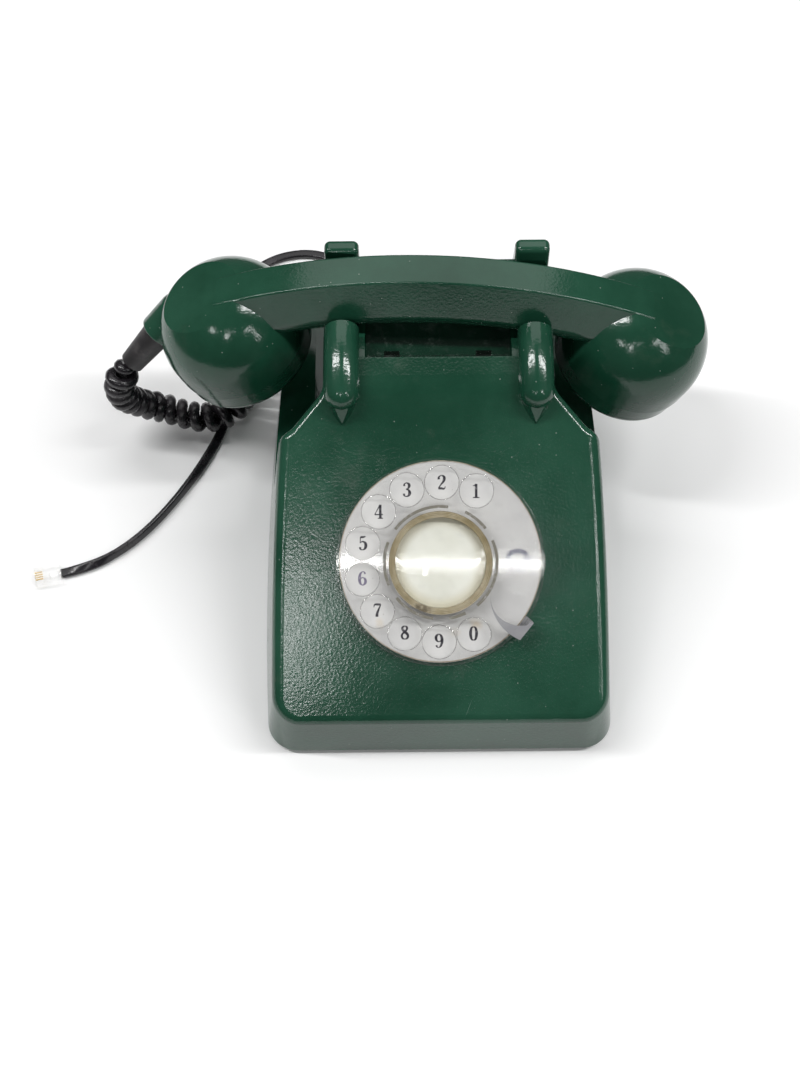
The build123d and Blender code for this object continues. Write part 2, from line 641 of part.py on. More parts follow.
def bell_hammer():
    """The rocking armature with its pin, rod and ball."""
    made = box_between((-17.0, HAMMER_PIVOT_Y - 2, HAMMER_Z - 5), (17.0, HAMMER_PIVOT_Y + 1, HAMMER_Z + 5))
    made += disc(1.2, BASE_TOP_Z + 0.4, 35.6, 0, HAMMER_PIVOT_Y)
    made += disc(2.6, 9.0, 33.4, 0, HAMMER_PIVOT_Y)
    made += rod(0.9, (0, HAMMER_PIVOT_Y, HAMMER_Z - 6), (0, GONG_Y, HAMMER_Z - 6))
    return made + Pos(0, GONG_Y, HAMMER_Z - 6) * Sphere(3.4)


# ---------------------------------------------------------------- circuit
def circuit_board():
    """The board at the front, with its terminals in a row."""
    board = box_between((-44, -98, 10.0), (44, -70, 11.6))
    for x in (-38, 38):
        for y in (-94, -74):
            board -= disc(1.6, 5, 20, x, y)
    return board


def board_spacers():
    """Four spacers with screws under the board."""
    return [
        disc(3.0, BASE_TOP_Z, 10.0, x, y) + disc(1.6, 6, 12.4, x, y) + disc(2.8, 11.6, 13.0, x, y)
        for x in (-38, 38) for y in (-94, -74)
    ]


def terminal_strip():
    """The insulating strip on the board, with slots between its terminals."""
    strip = box_between((-30, -96.0, 11.6), (30, -86.0, 17.0))
    for n in range(10):
        strip -= disc(1.5, 13, 20, -27 + 6 * n, -91.0)
    return strip


def terminal_screws():
    """Ten terminal screws."""
    return [disc(1.5, 13.0, 17.0, -27 + 6 * n, -91.0) + disc(2.3, 17.0, 18.4, -27 + 6 * n, -91.0) for n in range(10)]


def induction_coil():
    """The transformer beside the bell."""
    core = box_between((-66, -8, BASE_TOP_Z), (-40, 16, BASE_TOP_Z + 24))
    for low, high in ((-62, -56), (-50, -44)):
        core -= box_between((low, -20, BASE_TOP_Z + 5), (high, 30, BASE_TOP_Z + 19))
    return core


def induction_winding():
    """The transformer's winding, round the middle limb."""
    outer = box_between((-61.8, -12, BASE_TOP_Z + 5.2), (-44.2, 20, BASE_TOP_Z + 18.8))
    hole = box_between((-56.2, -20, BASE_TOP_Z + 4.0), (-49.8, 30, BASE_TOP_Z + 20))
    return outer - box_between((-56, -8, 0), (-50, 16, 60)) - (hole & box_between((-70, -8, 0), (-40, 16, 60)))


def capacitor():
    """The bell and spark capacitor in its can."""
    can = box_between((42, -8, BASE_TOP_Z), (66, 22, BASE_TOP_Z + 20))
    return fillet(can.edges(), 2.0)


# ---------------------------------------------------------------- handset
def arc_path(radius, reach):
    """An arc over the cradle, about the centre of the handle's back."""
    centre = HANDLE_TOP_Z - HANDLE_ARC
    side = radius * sin(radians(reach))
    height = centre + radius * cos(radians(reach))
    return ThreePointArc((-side, 0, height), (0, 0, centre + radius), (side, 0, height))


def handle():
    """The bowed grip: a narrow back, two leaning flanks and a round belly."""
    half_height = HANDLE_HEIGHT / 2
    corners = [
        (HANDLE_TOP_HALF, half_height), (HANDLE_HALF, -5.0), (9.0, -half_height),
        (-9.0, -half_height), (-HANDLE_HALF, -5.0), (-HANDLE_TOP_HALF, half_height),
    ]
    section = make_face(Polyline(*corners, close=True))
    for index, radius in ((0, 1.0), (5, 1.0), (1, 7.0), (4, 7.0), (2, 5.0), (3, 5.0)):
        near = sorted(section.vertices(), key=lambda v: (Vector(*corners[index]) - v.center()).length)
        section = fillet(near[0], radius)
    path = arc_path(HANDLE_ARC - half_height, 25.0)
    return sweep(Plane(origin=path @ 0, x_dir=(0, 1, 0), z_dir=path % 0) * section, path=path)


def bulb_place(side):
    """The frame of an ear or mouth bulb: origin at its centre, +Z away from its cap."""
    return Pos(side * BULB_X, 0, BULB_Z) * Rot(0, side * CAP_TILT, 0)


def bulb(side):
    """One end of the handset, round above and threaded below for its cap."""
    ball = Sphere(BULB_RADIUS) & box_between((-40, -40, 0), (40, 40, 40))
    ball += disc(BULB_RADIUS, -7.0, 0.0) + disc(28.4, -15.0, -7.0)
    middle = HANDLE_TOP_Z - HANDLE_ARC
    back = rod(HANDLE_ARC - BACK_STEP, (0, -50, middle), (0, 50, middle))
    return (bulb_place(side) * ball) & back


def bulb_hollow(side):
    """The recess that holds a capsule."""
    return bulb_place(side) * disc(26.4, -20.0, 6.0)


CORD_AXIS = Vector(-0.645, -0.331, -0.689).normalized()
COLLAR_START = Vector(-115.4, 6.7, 88.3)
COLLAR_LENGTH = 15.0
CORD_REACH = 36.0                    # from the collar's start to the boot's tip


def handset_shell():
    """The handset's moulding: handle, two bulbs and the duct for the wires."""
    shell = handle() + bulb(-1) + bulb(1)
    duct_path = arc_path(HANDLE_ARC - HANDLE_HEIGHT / 2 - 3.0, 22.0)
    duct = sweep(Plane(origin=duct_path @ 0, z_dir=duct_path % 0) * Circle(3.0), path=duct_path)
    shell = shell - duct - bulb_hollow(-1) - bulb_hollow(1)
    shell -= rod(5.0, COLLAR_START, COLLAR_START + CORD_AXIS * 40)
    shell -= rod(7.3, COLLAR_START + CORD_AXIS * (COLLAR_LENGTH - 0.4), COLLAR_START + CORD_AXIS * 45)
    return HANDSET * shell


def cord_collar():
    """The collar at the outer end of the left bulb, which clamps the cord's boot."""
    collar = rod(8.6, COLLAR_START, COLLAR_START + CORD_AXIS * COLLAR_LENGTH)
    collar = fillet(collar.edges().sort_by(Axis.Z)[0], 1.0)
    collar += Pos(*COLLAR_START) * Sphere(8.6)
    collar -= bulb_place(-1) * (Sphere(BULB_RADIUS + 0.02) + disc(BULB_RADIUS + 0.02, -8.0, 0.0))
    return HANDSET * (collar - rod(5.0, COLLAR_START + CORD_AXIS * 4, COLLAR_START + CORD_AXIS * 40))


def cap(side, rings):
    """A screw-on cap, dished a little, with rings of small holes."""
    profile = make_face(
        Polyline((0, -18.0), (20.0, -19.4), (26.0, -19.4))
        + ThreePointArc((26.0, -19.4), (BULB_RADIUS - 1.9, -17.6), (BULB_RADIUS - 0.8, -14.0))
        + Polyline((BULB_RADIUS - 0.8, -14.0), (BULB_RADIUS - 0.2, -7.2), (28.6, -7.2), (28.6, -15.8))
        + Polyline((28.6, -15.8), (0, -15.8), (0, -18.0))
    )
    made = revolve(Plane.XZ * profile, Axis.Z)
    for radius, count in rings:
        for n in range(count):
            x, y, _ = polar(radius, 360 * n / count)
            made -= disc(1.3, -30, 0, x, y)
    return HANDSET * (bulb_place(side) * made)


def capsule(side):
    """A sealed receiver or transmitter capsule with a stepped edge."""
    made = disc(25.8, -15.2, -9.0) + disc(22.0, -9.0, 2.0) + disc(8.0, 2.0, 4.0)
    return HANDSET * (bulb_place(side) * made)


def boot():
    """The rubber boot at the handset's end of the cord."""
    body = rod(4.9, COLLAR_START + CORD_AXIS * 5, COLLAR_START + CORD_AXIS * (COLLAR_LENGTH + 2))
    plane = Plane(origin=COLLAR_START + CORD_AXIS * (COLLAR_LENGTH + 0.05), z_dir=CORD_AXIS)
    length = (HANDSET_CORD_START - plane.origin).length
    cone = loft([plane * Circle(6.9), plane.offset(length) * Circle(5.5)])
    return HANDSET * (body + cone)


HANDSET_CORD_START = COLLAR_START + CORD_AXIS * CORD_REACH


# ---------------------------------------------------------------- cords
def cord_path(points):
    """Straight runs joined by arcs that are as large as the runs allow."""
    radii = []
    for before, at, after in zip(points, points[1:], points[2:]):
        first, second = Vector(*at) - Vector(*before), Vector(*after) - Vector(*at)
        turn = first.get_angle(second)
        radii.append(0.45 * min(first.length, second.length) / tan(radians(turn / 2)))
    print("  cord radii, mm:", [round(r) for r in radii])
    return FilletPolyline(*points, radius=radii)


def cord_tube(points, diameter):
    """A plain round tube along a cord's route."""
    path = cord_path(points)
    tube = sweep(Plane(origin=path @ 0, z_dir=path % 0) * Circle(diameter / 2), path=path)
    expected = pi * diameter ** 2 / 4 * path.length
    print(f"  cord length {path.length:.1f} mm, volume over section x length {tube.volume / expected:.3f}")
    return tube


def gland(x, bore):
    """A grommet in the rear wall that grips a cord."""
    body = rod(GROMMET_RADIUS - 0.05, (x, 101.0, WIRE_Z), (x, GLAND_FACE_Y, WIRE_Z))
    body += rod(7.5, (x, GLAND_WALL_Y + 0.05, WIRE_Z), (x, GLAND_WALL_Y + 1.6, WIRE_Z))
    return body - rod(bore, (x, 90, WIRE_Z), (x, 120, WIRE_Z))


def plug_at(shape):
    """Something moved from beside the origin to the line cord's far end."""
    return Pos(LINE_ROUTE[-1][0], LINE_ROUTE[-1][1], 0) * Rot(0, 0, LINE_END_HEADING) * shape


def line_plug():
    """The clear modular plug, with its latch on top."""
    body = box_between((-12.5, -4.8, 0.0), (0.0, 4.8, 6.2))
    body -= box_between((-13, -3.6, 4.0), (-8.0, 3.6, 7.0))
    latch = box_between((-12.0, -1.7, 5.4), (-0.5, 1.7, 6.6))
    return plug_at(body + latch - rod(1.5, (-6, 0, 1.7), (1, 0, 1.7)))


def plug_contacts():
    """The plug's four gilt blades."""
    return [plug_at(box_between((-12.2, y - 0.2, 2.6), (-8.6, y + 0.2, 4.6)) - box_between((-20, -9, 0), (0, 9, 4.0)))
            for y in (-1.8, -0.6, 0.6, 1.8)]


# ---------------------------------------------------------------- every node
def all_parts():
    """Node names and their solids."""
    dial_parts = {
        "number_plate": number_plate(), "finger_stop": finger_stop(), "finger_wheel": finger_wheel(),
        "label_card": label_card(), "label_cover": label_cover(), "label_ring": label_ring(),
        "dial_front_plate": dial_front_plate(), "dial_rear_plate": dial_rear_plate(),
        "dial_pillars": dial_pillars(), "main_shaft": main_shaft(), "main_gear": main_gear(),
        "return_spring": return_spring(), "pinion_shaft": pinion_shaft(),
        "governor_shaft": governor_shaft(), "governor_frame": governor_frame(),
        "pulse_contacts": pulse_contacts(), "off_normal_contacts": off_normal_contacts(),
    }
    nodes = {name: placed_on_dial(shape) for name, shape in dial_parts.items()}
    nodes.update({
        "case_shell": case_shell(), "base_plate": base_plate(), "rubber_feet": rubber_feet(),
        "case_screws": case_screws(), "dial_bracket": dial_bracket(), "cradle_bar": cradle_bar(),
        "switch_bracket": switch_bracket(), "switch_lever": switch_lever(),
        "switch_springs": switch_springs(), "switch_return_spring": switch_return_spring(),
        "left_gong": gong(-1), "right_gong": gong(1), "gong_posts": gong_posts(),
        "ringer_frame": ringer_frame(), "left_ringer_coil": ringer_coil(-1),
        "right_ringer_coil": ringer_coil(1), "ringer_cores": ringer_cores(),
        "ringer_magnet": ringer_magnet(), "bell_hammer": bell_hammer(),
        "circuit_board": circuit_board(), "board_spacers": board_spacers(),
        "terminal_strip": terminal_strip(), "terminal_screws": terminal_screws(),
        "induction_coil_core": induction_coil(), "induction_winding": induction_winding(),
        "capacitor": capacitor(), "handset_shell": handset_shell(),
        "ear_cap": cap(1, [(0, 1), (5, 6), (10, 12)]), "mouth_cap": cap(-1, [(0, 1), (5, 6), (10, 12), (15, 18)]),
        "receiver_capsule": capsule(1), "transmitter_capsule": capsule(-1), "cord_boot": boot(),
        "cord_collar": cord_collar(),
        "handset_cord": cord_tube(CURLY_ROUTE, CURLY_DIAMETER), "line_cord": cord_tube(LINE_ROUTE, LINE_DIAMETER),
        "handset_cord_gland": gland(CURLY_GLAND_X, 2.6), "line_cord_gland": gland(LINE_GLAND_X, 1.5),
        "line_plug": line_plug(), "plug_contacts": plug_contacts(),
    })
    return nodes


def placed_on_dial(shape):
    """A dial part, or a list of them, moved from the drawing plane onto the face."""
    if isinstance(shape, list):
        return [DIAL * each for each in shape]
    return DIAL * shape


if __name__ == "__main__":
    os.makedirs("parts", exist_ok=True)
    for name, shape in all_parts().items():
        solids = []
        for each in shape if isinstance(shape, list) else [shape]:
            solids.extend(each.solids())
        export_step(Compound(solids) if len(solids) > 1 else solids[0], f"parts/{name}.step")
        print(name, len(solids), round(sum(s.volume for s in solids), 1))
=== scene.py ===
# %% [markdown]
# # A rotary telephone, dressed
# The telephone's solid parts come as a frame, already at their real size and in their places. This script
# gives them colour and wear, and adds what solid modelling leaves plain: the curly cord, the flat line
# cord, the printed numbers, the turned rings of the dial and the marks of long use. Everything is in
# metres, with Z up.

# %% Load the frame
import bpy
import math
from mathutils import Matrix, Vector


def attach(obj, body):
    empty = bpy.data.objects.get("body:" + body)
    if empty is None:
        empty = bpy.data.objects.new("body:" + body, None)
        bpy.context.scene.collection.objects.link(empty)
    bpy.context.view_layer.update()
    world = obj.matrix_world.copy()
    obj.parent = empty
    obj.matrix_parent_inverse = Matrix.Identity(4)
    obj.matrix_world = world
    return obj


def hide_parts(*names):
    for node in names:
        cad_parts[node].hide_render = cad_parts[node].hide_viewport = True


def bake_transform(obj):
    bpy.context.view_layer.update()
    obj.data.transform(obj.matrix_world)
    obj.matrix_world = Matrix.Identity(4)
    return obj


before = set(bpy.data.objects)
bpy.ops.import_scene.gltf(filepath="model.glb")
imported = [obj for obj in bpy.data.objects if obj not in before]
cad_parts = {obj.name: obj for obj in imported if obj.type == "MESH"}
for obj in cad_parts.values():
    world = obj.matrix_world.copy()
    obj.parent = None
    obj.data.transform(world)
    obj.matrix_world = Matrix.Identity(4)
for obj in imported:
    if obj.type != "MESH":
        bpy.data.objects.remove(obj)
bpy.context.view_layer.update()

print("parts in the frame:", len(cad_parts))

# %% [markdown]
# ## The camera
# The telephone is looked at from high above its front. A camera needs a place, a direction and a lens.
# The direction is given as a vector, and a small roll tilts the view, because a camera held by hand is
# seldom quite level. An Empty with a Track To constraint would also aim it, but a matrix leaves nothing
# behind.

# %% Camera
CAMERA_PLACE = Vector((-0.01772, -0.3126, 0.62816))
CAMERA_LOOK = Vector((0.00092, 0.4382, -0.89888)).normalized()
CAMERA_ROLL = math.radians(-0.4)
flat_right = CAMERA_LOOK.cross(Vector((0, 0, 1))).normalized()
flat_up = flat_right.cross(CAMERA_LOOK)
right = flat_right * math.cos(CAMERA_ROLL) + flat_up * math.sin(CAMERA_ROLL)
up = right.cross(CAMERA_LOOK)
camera_data = bpy.data.cameras.new("camera")
camera_data.lens = 47.78
camera_data.sensor_width = 36
camera = bpy.data.objects.new("camera", camera_data)
bpy.context.collection.objects.link(camera)
facing = Matrix((right, up, -CAMERA_LOOK)).transposed().to_4x4()
camera.matrix_world = Matrix.Translation(CAMERA_PLACE) @ facing
bpy.context.scene.camera = camera
print("camera is", round(CAMERA_PLACE.length, 3), "m from the middle of the foot")

# %% [markdown]
# ## Helpers for modelling
# Pieces are modelled with the same operators as by hand. A new primitive is added selected all over, and
# the frame's parts are selected after loading, so every step starts by deselecting. `begin` and `only`
# keep those habits in one place: an operator always finds just the piece that it should act on. A swept
# or drawn shape is quicker to write as a list of corners and faces, which `meshed` turns into a closed
# piece.

# %% Modelling helpers
def begin():
    """Leaves edit mode and deselects everything."""
    if bpy.context.mode != "OBJECT":
        bpy.ops.object.mode_set(mode="OBJECT")
    bpy.ops.object.select_all(action="DESELECT")


def only(piece):
    """Selects one piece and makes it the active one."""
    begin()
    piece.select_set(True)
    bpy.context.view_layer.objects.active = piece


def named(name):
    """Names the piece that was just added."""
    piece = bpy.context.object
    piece.name = piece.data.name = name
    return piece


def settle(piece):
    """Puts the piece's place into its mesh, so that its object sits unturned at the origin."""
    only(piece)
    bpy.ops.object.transform_apply(location=True, rotation=True, scale=True)
    return piece


def smooth(piece, degrees):
    """Smooth shading, with edges kept where the surface turns by more than an angle."""
    only(piece)
    bpy.ops.object.shade_smooth_by_angle(angle=math.radians(degrees))
    return piece


def turn_faces_out(piece):
    """Makes a closed piece's faces point outwards."""
    only(piece)
    bpy.ops.object.mode_set(mode="EDIT")
    bpy.ops.mesh.select_all(action="SELECT")
    bpy.ops.mesh.normals_make_consistent(inside=False)
    bpy.ops.object.mode_set(mode="OBJECT")
    return piece


def linked(name, data):
    """A new object around a mesh, a curve or a lamp, put into the scene."""
    piece = bpy.data.objects.new(name, data)
    bpy.context.collection.objects.link(piece)
    return piece


def meshed(name, places, faces):
    """A closed piece made from its corners and faces."""
    mesh = bpy.data.meshes.new(name)
    mesh.from_pydata(places, [], faces)
    return turn_faces_out(linked(name, mesh))


def tube_faces(rings, sides):
    """The faces of a closed tube whose corners are counted ring by ring."""
    faces = []
    for first in range(0, (rings - 1) * sides, sides):
        for s in range(sides):
            t = (s + 1) % sides
            faces.append((first + s, first + t, first + sides + t, first + sides + s))
    last = (rings - 1) * sides
    return faces + [tuple(reversed(range(sides))), tuple(range(last, last + sides))]

print("helpers ready")

# %% [markdown]
# ## The route of a cord
# A cord is flexible, so its line is one smooth spline with a few control points: a NURBS curve of order 3
# turns in soft arcs and never overshoots. The same points shaped the cord's solid in the frame. `road`
# reads the finished line back as many close points, because a helix or a flat ribbon has to follow them.

# %% Routes
CURLY_ROUTE = [
    (-0.1404, 0.0582, 0.0633), (-0.1472, 0.055, 0.056), (-0.150, 0.0555, 0.042),
    (-0.146, 0.060, 0.026), (-0.135, 0.0635, 0.0155), (-0.121, 0.0595, 0.0136),
    (-0.108, 0.0575, 0.0136), (-0.0975, 0.064, 0.0126), (-0.092, 0.082, 0.0096),
    (-0.0925, 0.103, 0.0084), (-0.087, 0.124, 0.0086), (-0.073, 0.1355, 0.0108),
    (-0.0595, 0.1285, 0.014), (-0.058, 0.1113, 0.014),
]
LINE_ROUTE = [
    (-0.03, 0.1113, 0.014), (-0.0305, 0.1215, 0.0124), (-0.0315, 0.133, 0.0064),
    (-0.035, 0.1465, 0.0022), (-0.046, 0.161, 0.0017), (-0.065, 0.168, 0.0017),
    (-0.086, 0.1625, 0.0017), (-0.101, 0.1465, 0.0017), (-0.1075, 0.124, 0.0017),
    (-0.107, 0.101, 0.0017), (-0.103, 0.0805, 0.0017), (-0.1042, 0.0605, 0.0017),
    (-0.113, 0.04, 0.0017), (-0.1245, 0.0205, 0.0017), (-0.138, 0.0025, 0.0017),
    (-0.151, -0.0094, 0.0017), (-0.1645, -0.0172, 0.0017), (-0.1785, -0.0205, 0.0017),
]


def spline_through(name, route):
    """A NURBS curve with the route's points as its control points."""
    data = bpy.data.curves.new(name, "CURVE")
    data.dimensions = "3D"
    data.resolution_u = 60
    spline = data.splines.new("NURBS")
    spline.points.add(len(route) - 1)
    for point, place in zip(spline.points, route):
        point.co = (*place, 1.0)
    spline.order_u = 3
    spline.use_endpoint_u = True
    return linked(name, data)


def road(route):
    """The smooth line's points, read from the curve, and their distances along it."""
    guide = spline_through("guide", route)
    mesh = bpy.data.meshes.new_from_object(guide)
    points = [v.co.copy() for v in mesh.vertices]
    bpy.data.objects.remove(guide)
    along = [0.0]
    for a, b in zip(points, points[1:]):
        along.append(along[-1] + (b - a).length)
    return points, along


def at_distance(points, along, distance):
    """The place on the line at a distance from its start."""
    distance = min(max(distance, 0.0), along[-1])
    low, high = 0, len(along) - 1
    while high - low > 1:
        middle = (low + high) // 2
        low, high = (middle, high) if along[middle] <= distance else (low, middle)
    share = (distance - along[low]) / max(along[high] - along[low], 1e-12)
    return points[low].lerp(points[high], share)


curly_line, curly_along = road(CURLY_ROUTE)
lead_line, lead_along = road(LINE_ROUTE)
print("curly cord lies over", round(curly_along[-1], 4), "m")
print("line cord is", round(lead_along[-1], 4), "m long")

# %% [markdown]
# ## The curly handset cord
# A real curly cord is a straight insulated wire that was wound on a rod and heated, so that it keeps its
# turns. It could be a Screw modifier bent along a curve, but then the turns flatten where the curve is
# tight. Here each point of the helix is set out from the line by a frame that is carried along without
# twisting, and a small round profile is skinned over it. The turns lie almost against each other, and
# they narrow to a straight tail at each end.

# %% Helix
WIRE_DIAMETER = 0.0054
COIL_RADIUS = 0.00475
COIL_PITCH = 0.0065
TAIL = 0.006
TURN_STEPS = 20
WIRE_SIDES = 10


def carried_frames(centres):
    """A direction and two side vectors at each point, carried along without twist."""
    made, side = [], None
    for n, centre in enumerate(centres):
        ahead = (centres[min(n + 1, len(centres) - 1)] - centres[max(n - 1, 0)]).normalized()
        if side is None:
            side = ahead.cross(Vector((0, 0, 1)))
            if side.length < 0.1:
                side = ahead.cross(Vector((0, 1, 0)))
        side = (side - ahead * side.dot(ahead)).normalized()
        made.append((ahead, side, ahead.cross(side)))
    return made


def helix_along(points, along, radius, pitch, tail):
    """The helix's points: a straight tail, turns of full width, a straight tail."""
    total = along[-1]
    steps = int(total / pitch * TURN_STEPS)
    centres = [at_distance(points, along, total * n / steps) for n in range(steps + 1)]
    frames = carried_frames(centres)
    made = []
    for n, (centre, (ahead, side, other)) in enumerate(zip(centres, frames)):
        gone = total * n / steps
        near_end = min(gone, total - gone)
        rise = min(max((near_end - tail * 0.3) / tail, 0.0), 1.0)
        wide = radius * rise * rise * (3 - 2 * rise)
        unevenness = 0.035 * math.sin(gone * 260) + 0.02 * math.sin(gone * 655 + 1)
        wide *= 1 + unevenness
        turn = 2 * math.pi * n / TURN_STEPS
        made.append(centre + (side * math.cos(turn) + other * math.sin(turn)) * wide)
    return made


def skinned(name, points, radius):
    """A round tube over a line of points, with closed ends."""
    places = []
    for point, (_, side, other) in zip(points, carried_frames(points)):
        for s in range(WIRE_SIDES):
            a = 2 * math.pi * s / WIRE_SIDES
            places.append(point + (side * math.cos(a) + other * math.sin(a)) * radius)
    return smooth(meshed(name, places, tube_faces(len(points), WIRE_SIDES)), 60)


helix = helix_along(curly_line, curly_along, COIL_RADIUS, COIL_PITCH, TAIL)
helix_length = sum((b - a).length for a, b in zip(helix, helix[1:]))
curly_cord = skinned("curly_cord", helix, WIRE_DIAMETER / 2)
turns = round(len(helix) / TURN_STEPS)
print("the curly cord's wire is", round(helix_length, 3), "m, in", turns, "turns")

# %% Curly cord in the frame
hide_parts("handset_cord")
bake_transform(curly_cord)

# %% [markdown]
# ## The flat line cord
# The line cord is a flat lead, wider than it is thick, with a clear plug. A flat lead lies on its broad
# side, so a rounded rectangle is swept along the curve with its up direction kept. A curve's own bevel
# could do it, with Twist set to Z Up, and turning it into a mesh afterwards keeps the material simple.

# %% Flat lead
LEAD_WIDTH, LEAD_THICK, LEAD_CORNER = 0.0047, 0.0024, 0.0011
LEAD_STEPS = 240
FULL_ROLL = math.radians(72)


def flat_profile():
    """A rounded rectangle, as points round the lead's section."""
    made = []
    for cx, cy, start in ((1, 1, 0), (-1, 1, 90), (-1, -1, 180), (1, -1, 270)):
        for step in range(5):
            a = math.radians(start + 22.5 * step)
            made.append((cx * (LEAD_WIDTH / 2 - LEAD_CORNER) + LEAD_CORNER * math.cos(a),
                         cy * (LEAD_THICK / 2 - LEAD_CORNER) + LEAD_CORNER * math.sin(a)))
    return made


def lead_roll(share):
    """How far the lead is rolled about its own line, and how far that lifts it off the table."""
    begun = min(max((share - 0.62) / 0.16, 0.0), 1.0)
    not_yet_ended = min(max((0.99 - share) / 0.07, 0.0), 1.0)
    roll = FULL_ROLL * begun * not_yet_ended
    return roll, (LEAD_WIDTH - LEAD_THICK) / 2 * math.sin(roll)


def ribbon(name, points, profile):
    """The profile swept along the points, flat at first and then rolled on to its edge."""
    places = []
    for n, point in enumerate(points):
        ahead = (points[min(n + 1, len(points) - 1)] - points[max(n - 1, 0)]).normalized()
        across = ahead.cross(Vector((0, 0, 1))).normalized()
        top = across.cross(ahead)
        roll, lift = lead_roll(n / (len(points) - 1))
        rolled_across = across * math.cos(roll) + top * math.sin(roll)
        rolled_top = top * math.cos(roll) - across * math.sin(roll)
        middle = point + Vector((0, 0, lift))
        places += [middle + rolled_across * x + rolled_top * y for x, y in profile]
    return smooth(meshed(name, places, tube_faces(len(points), len(profile))), 50)


lead_points = [
    at_distance(lead_line, lead_along, lead_along[-1] * n / LEAD_STEPS) for n in range(LEAD_STEPS + 1)
]
flat_lead = ribbon("flat_lead", lead_points, flat_profile())
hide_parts("line_cord")
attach(flat_lead, "base")
print("flat lead:", round(lead_along[-1], 4), "m long and", LEAD_WIDTH * 1000, "mm wide")

# %% [markdown]
# ## Shader maths as sums
# A procedural material is a chain of nodes. Written out one by one it hides its idea, so a thin class
# wraps a socket and gives it the usual arithmetic: `1 - wear * 0.4` adds its Math nodes by itself.
# `Finish.node` makes every other kind of node, from its settings and its inputs.

# %% Sockets with arithmetic
class Wire:
    """One output socket, which can be added, subtracted, multiplied, divided and compared."""

    def __init__(self, finish, socket):
        self.finish, self.socket = finish, socket

    def sum(self, operation, *terms):
        return self.finish.node("Math", {"operation": operation}, dict(enumerate(terms)))

    def __add__(self, other):
        return self.sum("ADD", self, other)

    def __sub__(self, other):
        return self.sum("SUBTRACT", self, other)

    def __rsub__(self, other):
        return self.sum("SUBTRACT", other, self)

    def __mul__(self, other):
        return self.sum("MULTIPLY", self, other)

    def __pow__(self, other):
        return self.sum("POWER", self, other)

    def __gt__(self, other):
        return self.sum("GREATER_THAN", self, other)

    def between(self, low, high):
        """0 below low, 1 above high, and smooth in between."""
        return self.finish.node("MapRange", {"interpolation_type": "SMOOTHSTEP"},
                                {"Value": self, "From Min": low, "From Max": high})

    def most(self, other):
        return self.sum("MAXIMUM", self, other)

    __radd__ = __add__
    __rmul__ = __mul__


class Finish:
    """A material made by its nodes, with one method for all of them."""

    def __init__(self, name, **constants):
        self.material = bpy.data.materials.new(name)
        self.material.use_nodes = True
        self.tree = self.material.node_tree
        self.shader = self.tree.nodes["Principled BSDF"]
        self.place = self.node("TexCoord", out="Object")
        self.set(**constants)

    def set(self, **values):
        """Feeds the shader's sockets: a constant is set on the socket itself."""
        for key, value in values.items():
            self.feed(self.shader.inputs[key.replace("_", " ")], value)

    def feed(self, socket, value):
        if isinstance(value, Wire):
            self.tree.links.new(value.socket, socket)
        elif hasattr(value, "__len__") and len(value) == 3 and socket.type == "RGBA":
            socket.default_value = (*value, 1.0)
        else:
            socket.default_value = value

    def node(self, kind, settings=None, inputs=None, out=0):
        made = self.tree.nodes.new("ShaderNode" + kind)
        for key, value in (settings or {}).items():
            setattr(made, key, value)
        for key, value in (inputs or {}).items():
            self.feed(made.inputs[key], value)
        return Wire(self, made.outputs[out])

    def noise(self, scale, detail=3.0, rough=0.5):
        return self.node("TexNoise", None, {"Vector": self.place, "Scale": scale, "Detail": detail,
                                            "Roughness": rough})

    def cells(self, scale, at=None, out="Distance"):
        """Distance to the nearest of many scattered points, or a random colour for each of them."""
        return self.node("TexVoronoi", None, {"Vector": at or self.place, "Scale": scale}, out=out)

    def away_from(self, place):
        """The distance from a place on the object."""
        return self.node("VectorMath", {"operation": "DISTANCE"}, {0: self.place, 1: place}, out="Value")

    def blend(self, share, low, high):
        """A colour between two colours."""
        return self.node("Mix", {"data_type": "RGBA"}, {0: share, 6: low, 7: high}, out=2)

    def bump(self, height, strength, distance=0.0002):
        self.set(Normal=self.node("Bump", None, {"Height": height, "Strength": strength,
                                                 "Distance": distance}))

    def first_part(self, colour):
        """The first of a colour's three parts, as a number."""
        return self.node("SeparateXYZ", None, {"Vector": colour}, out="X")

print("shader helpers ready")

# %% [markdown]
# ## Green moulded plastic
# The case and handset are moulded in one deep green, polished when new. Decades of hands leave it lighter
# where it was rubbed, with fine scratches in all directions, pinprick chips and dust. A painted image
# could carry such marks, but it would have to be unwrapped on to every curve; noise and cell patterns on
# the object's own coordinates give them at the right size anywhere on it.

# %% Green plastic
DEEP_GREEN, PALE_GREEN = (0.0055, 0.040, 0.0215), (0.0165, 0.073, 0.043)
GRIME_GREEN, SCRATCH_GREEN = (0.030, 0.062, 0.040), (0.075, 0.150, 0.118)
DUST_COLOUR = (0.30, 0.34, 0.30)
SPECK_CELLS = 420.0
FLATTENED = 10000                    # stretches a pattern so far along Z that height no longer changes it
MORE_SCRATCHES = (                   # turn, spacing in mm, length, thickness
    (1.9, 6.5, 34, 0.020), (2.7, 9.0, 40, 0.014), (1.2, 13.0, 60, 0.010),
)


def scratches(finish, turn, spacing, length, thick):
    """Straight hairlines, seen from above: cells stretched along one direction, kept at their middles."""
    at = finish.node("Mapping", {"vector_type": "TEXTURE"},
                     {"Vector": finish.place, "Rotation": (0, 0, turn),
                      "Scale": (1, length, FLATTENED)})
    return finish.cells(1000 / spacing, at).between(thick, thick * 0.4)


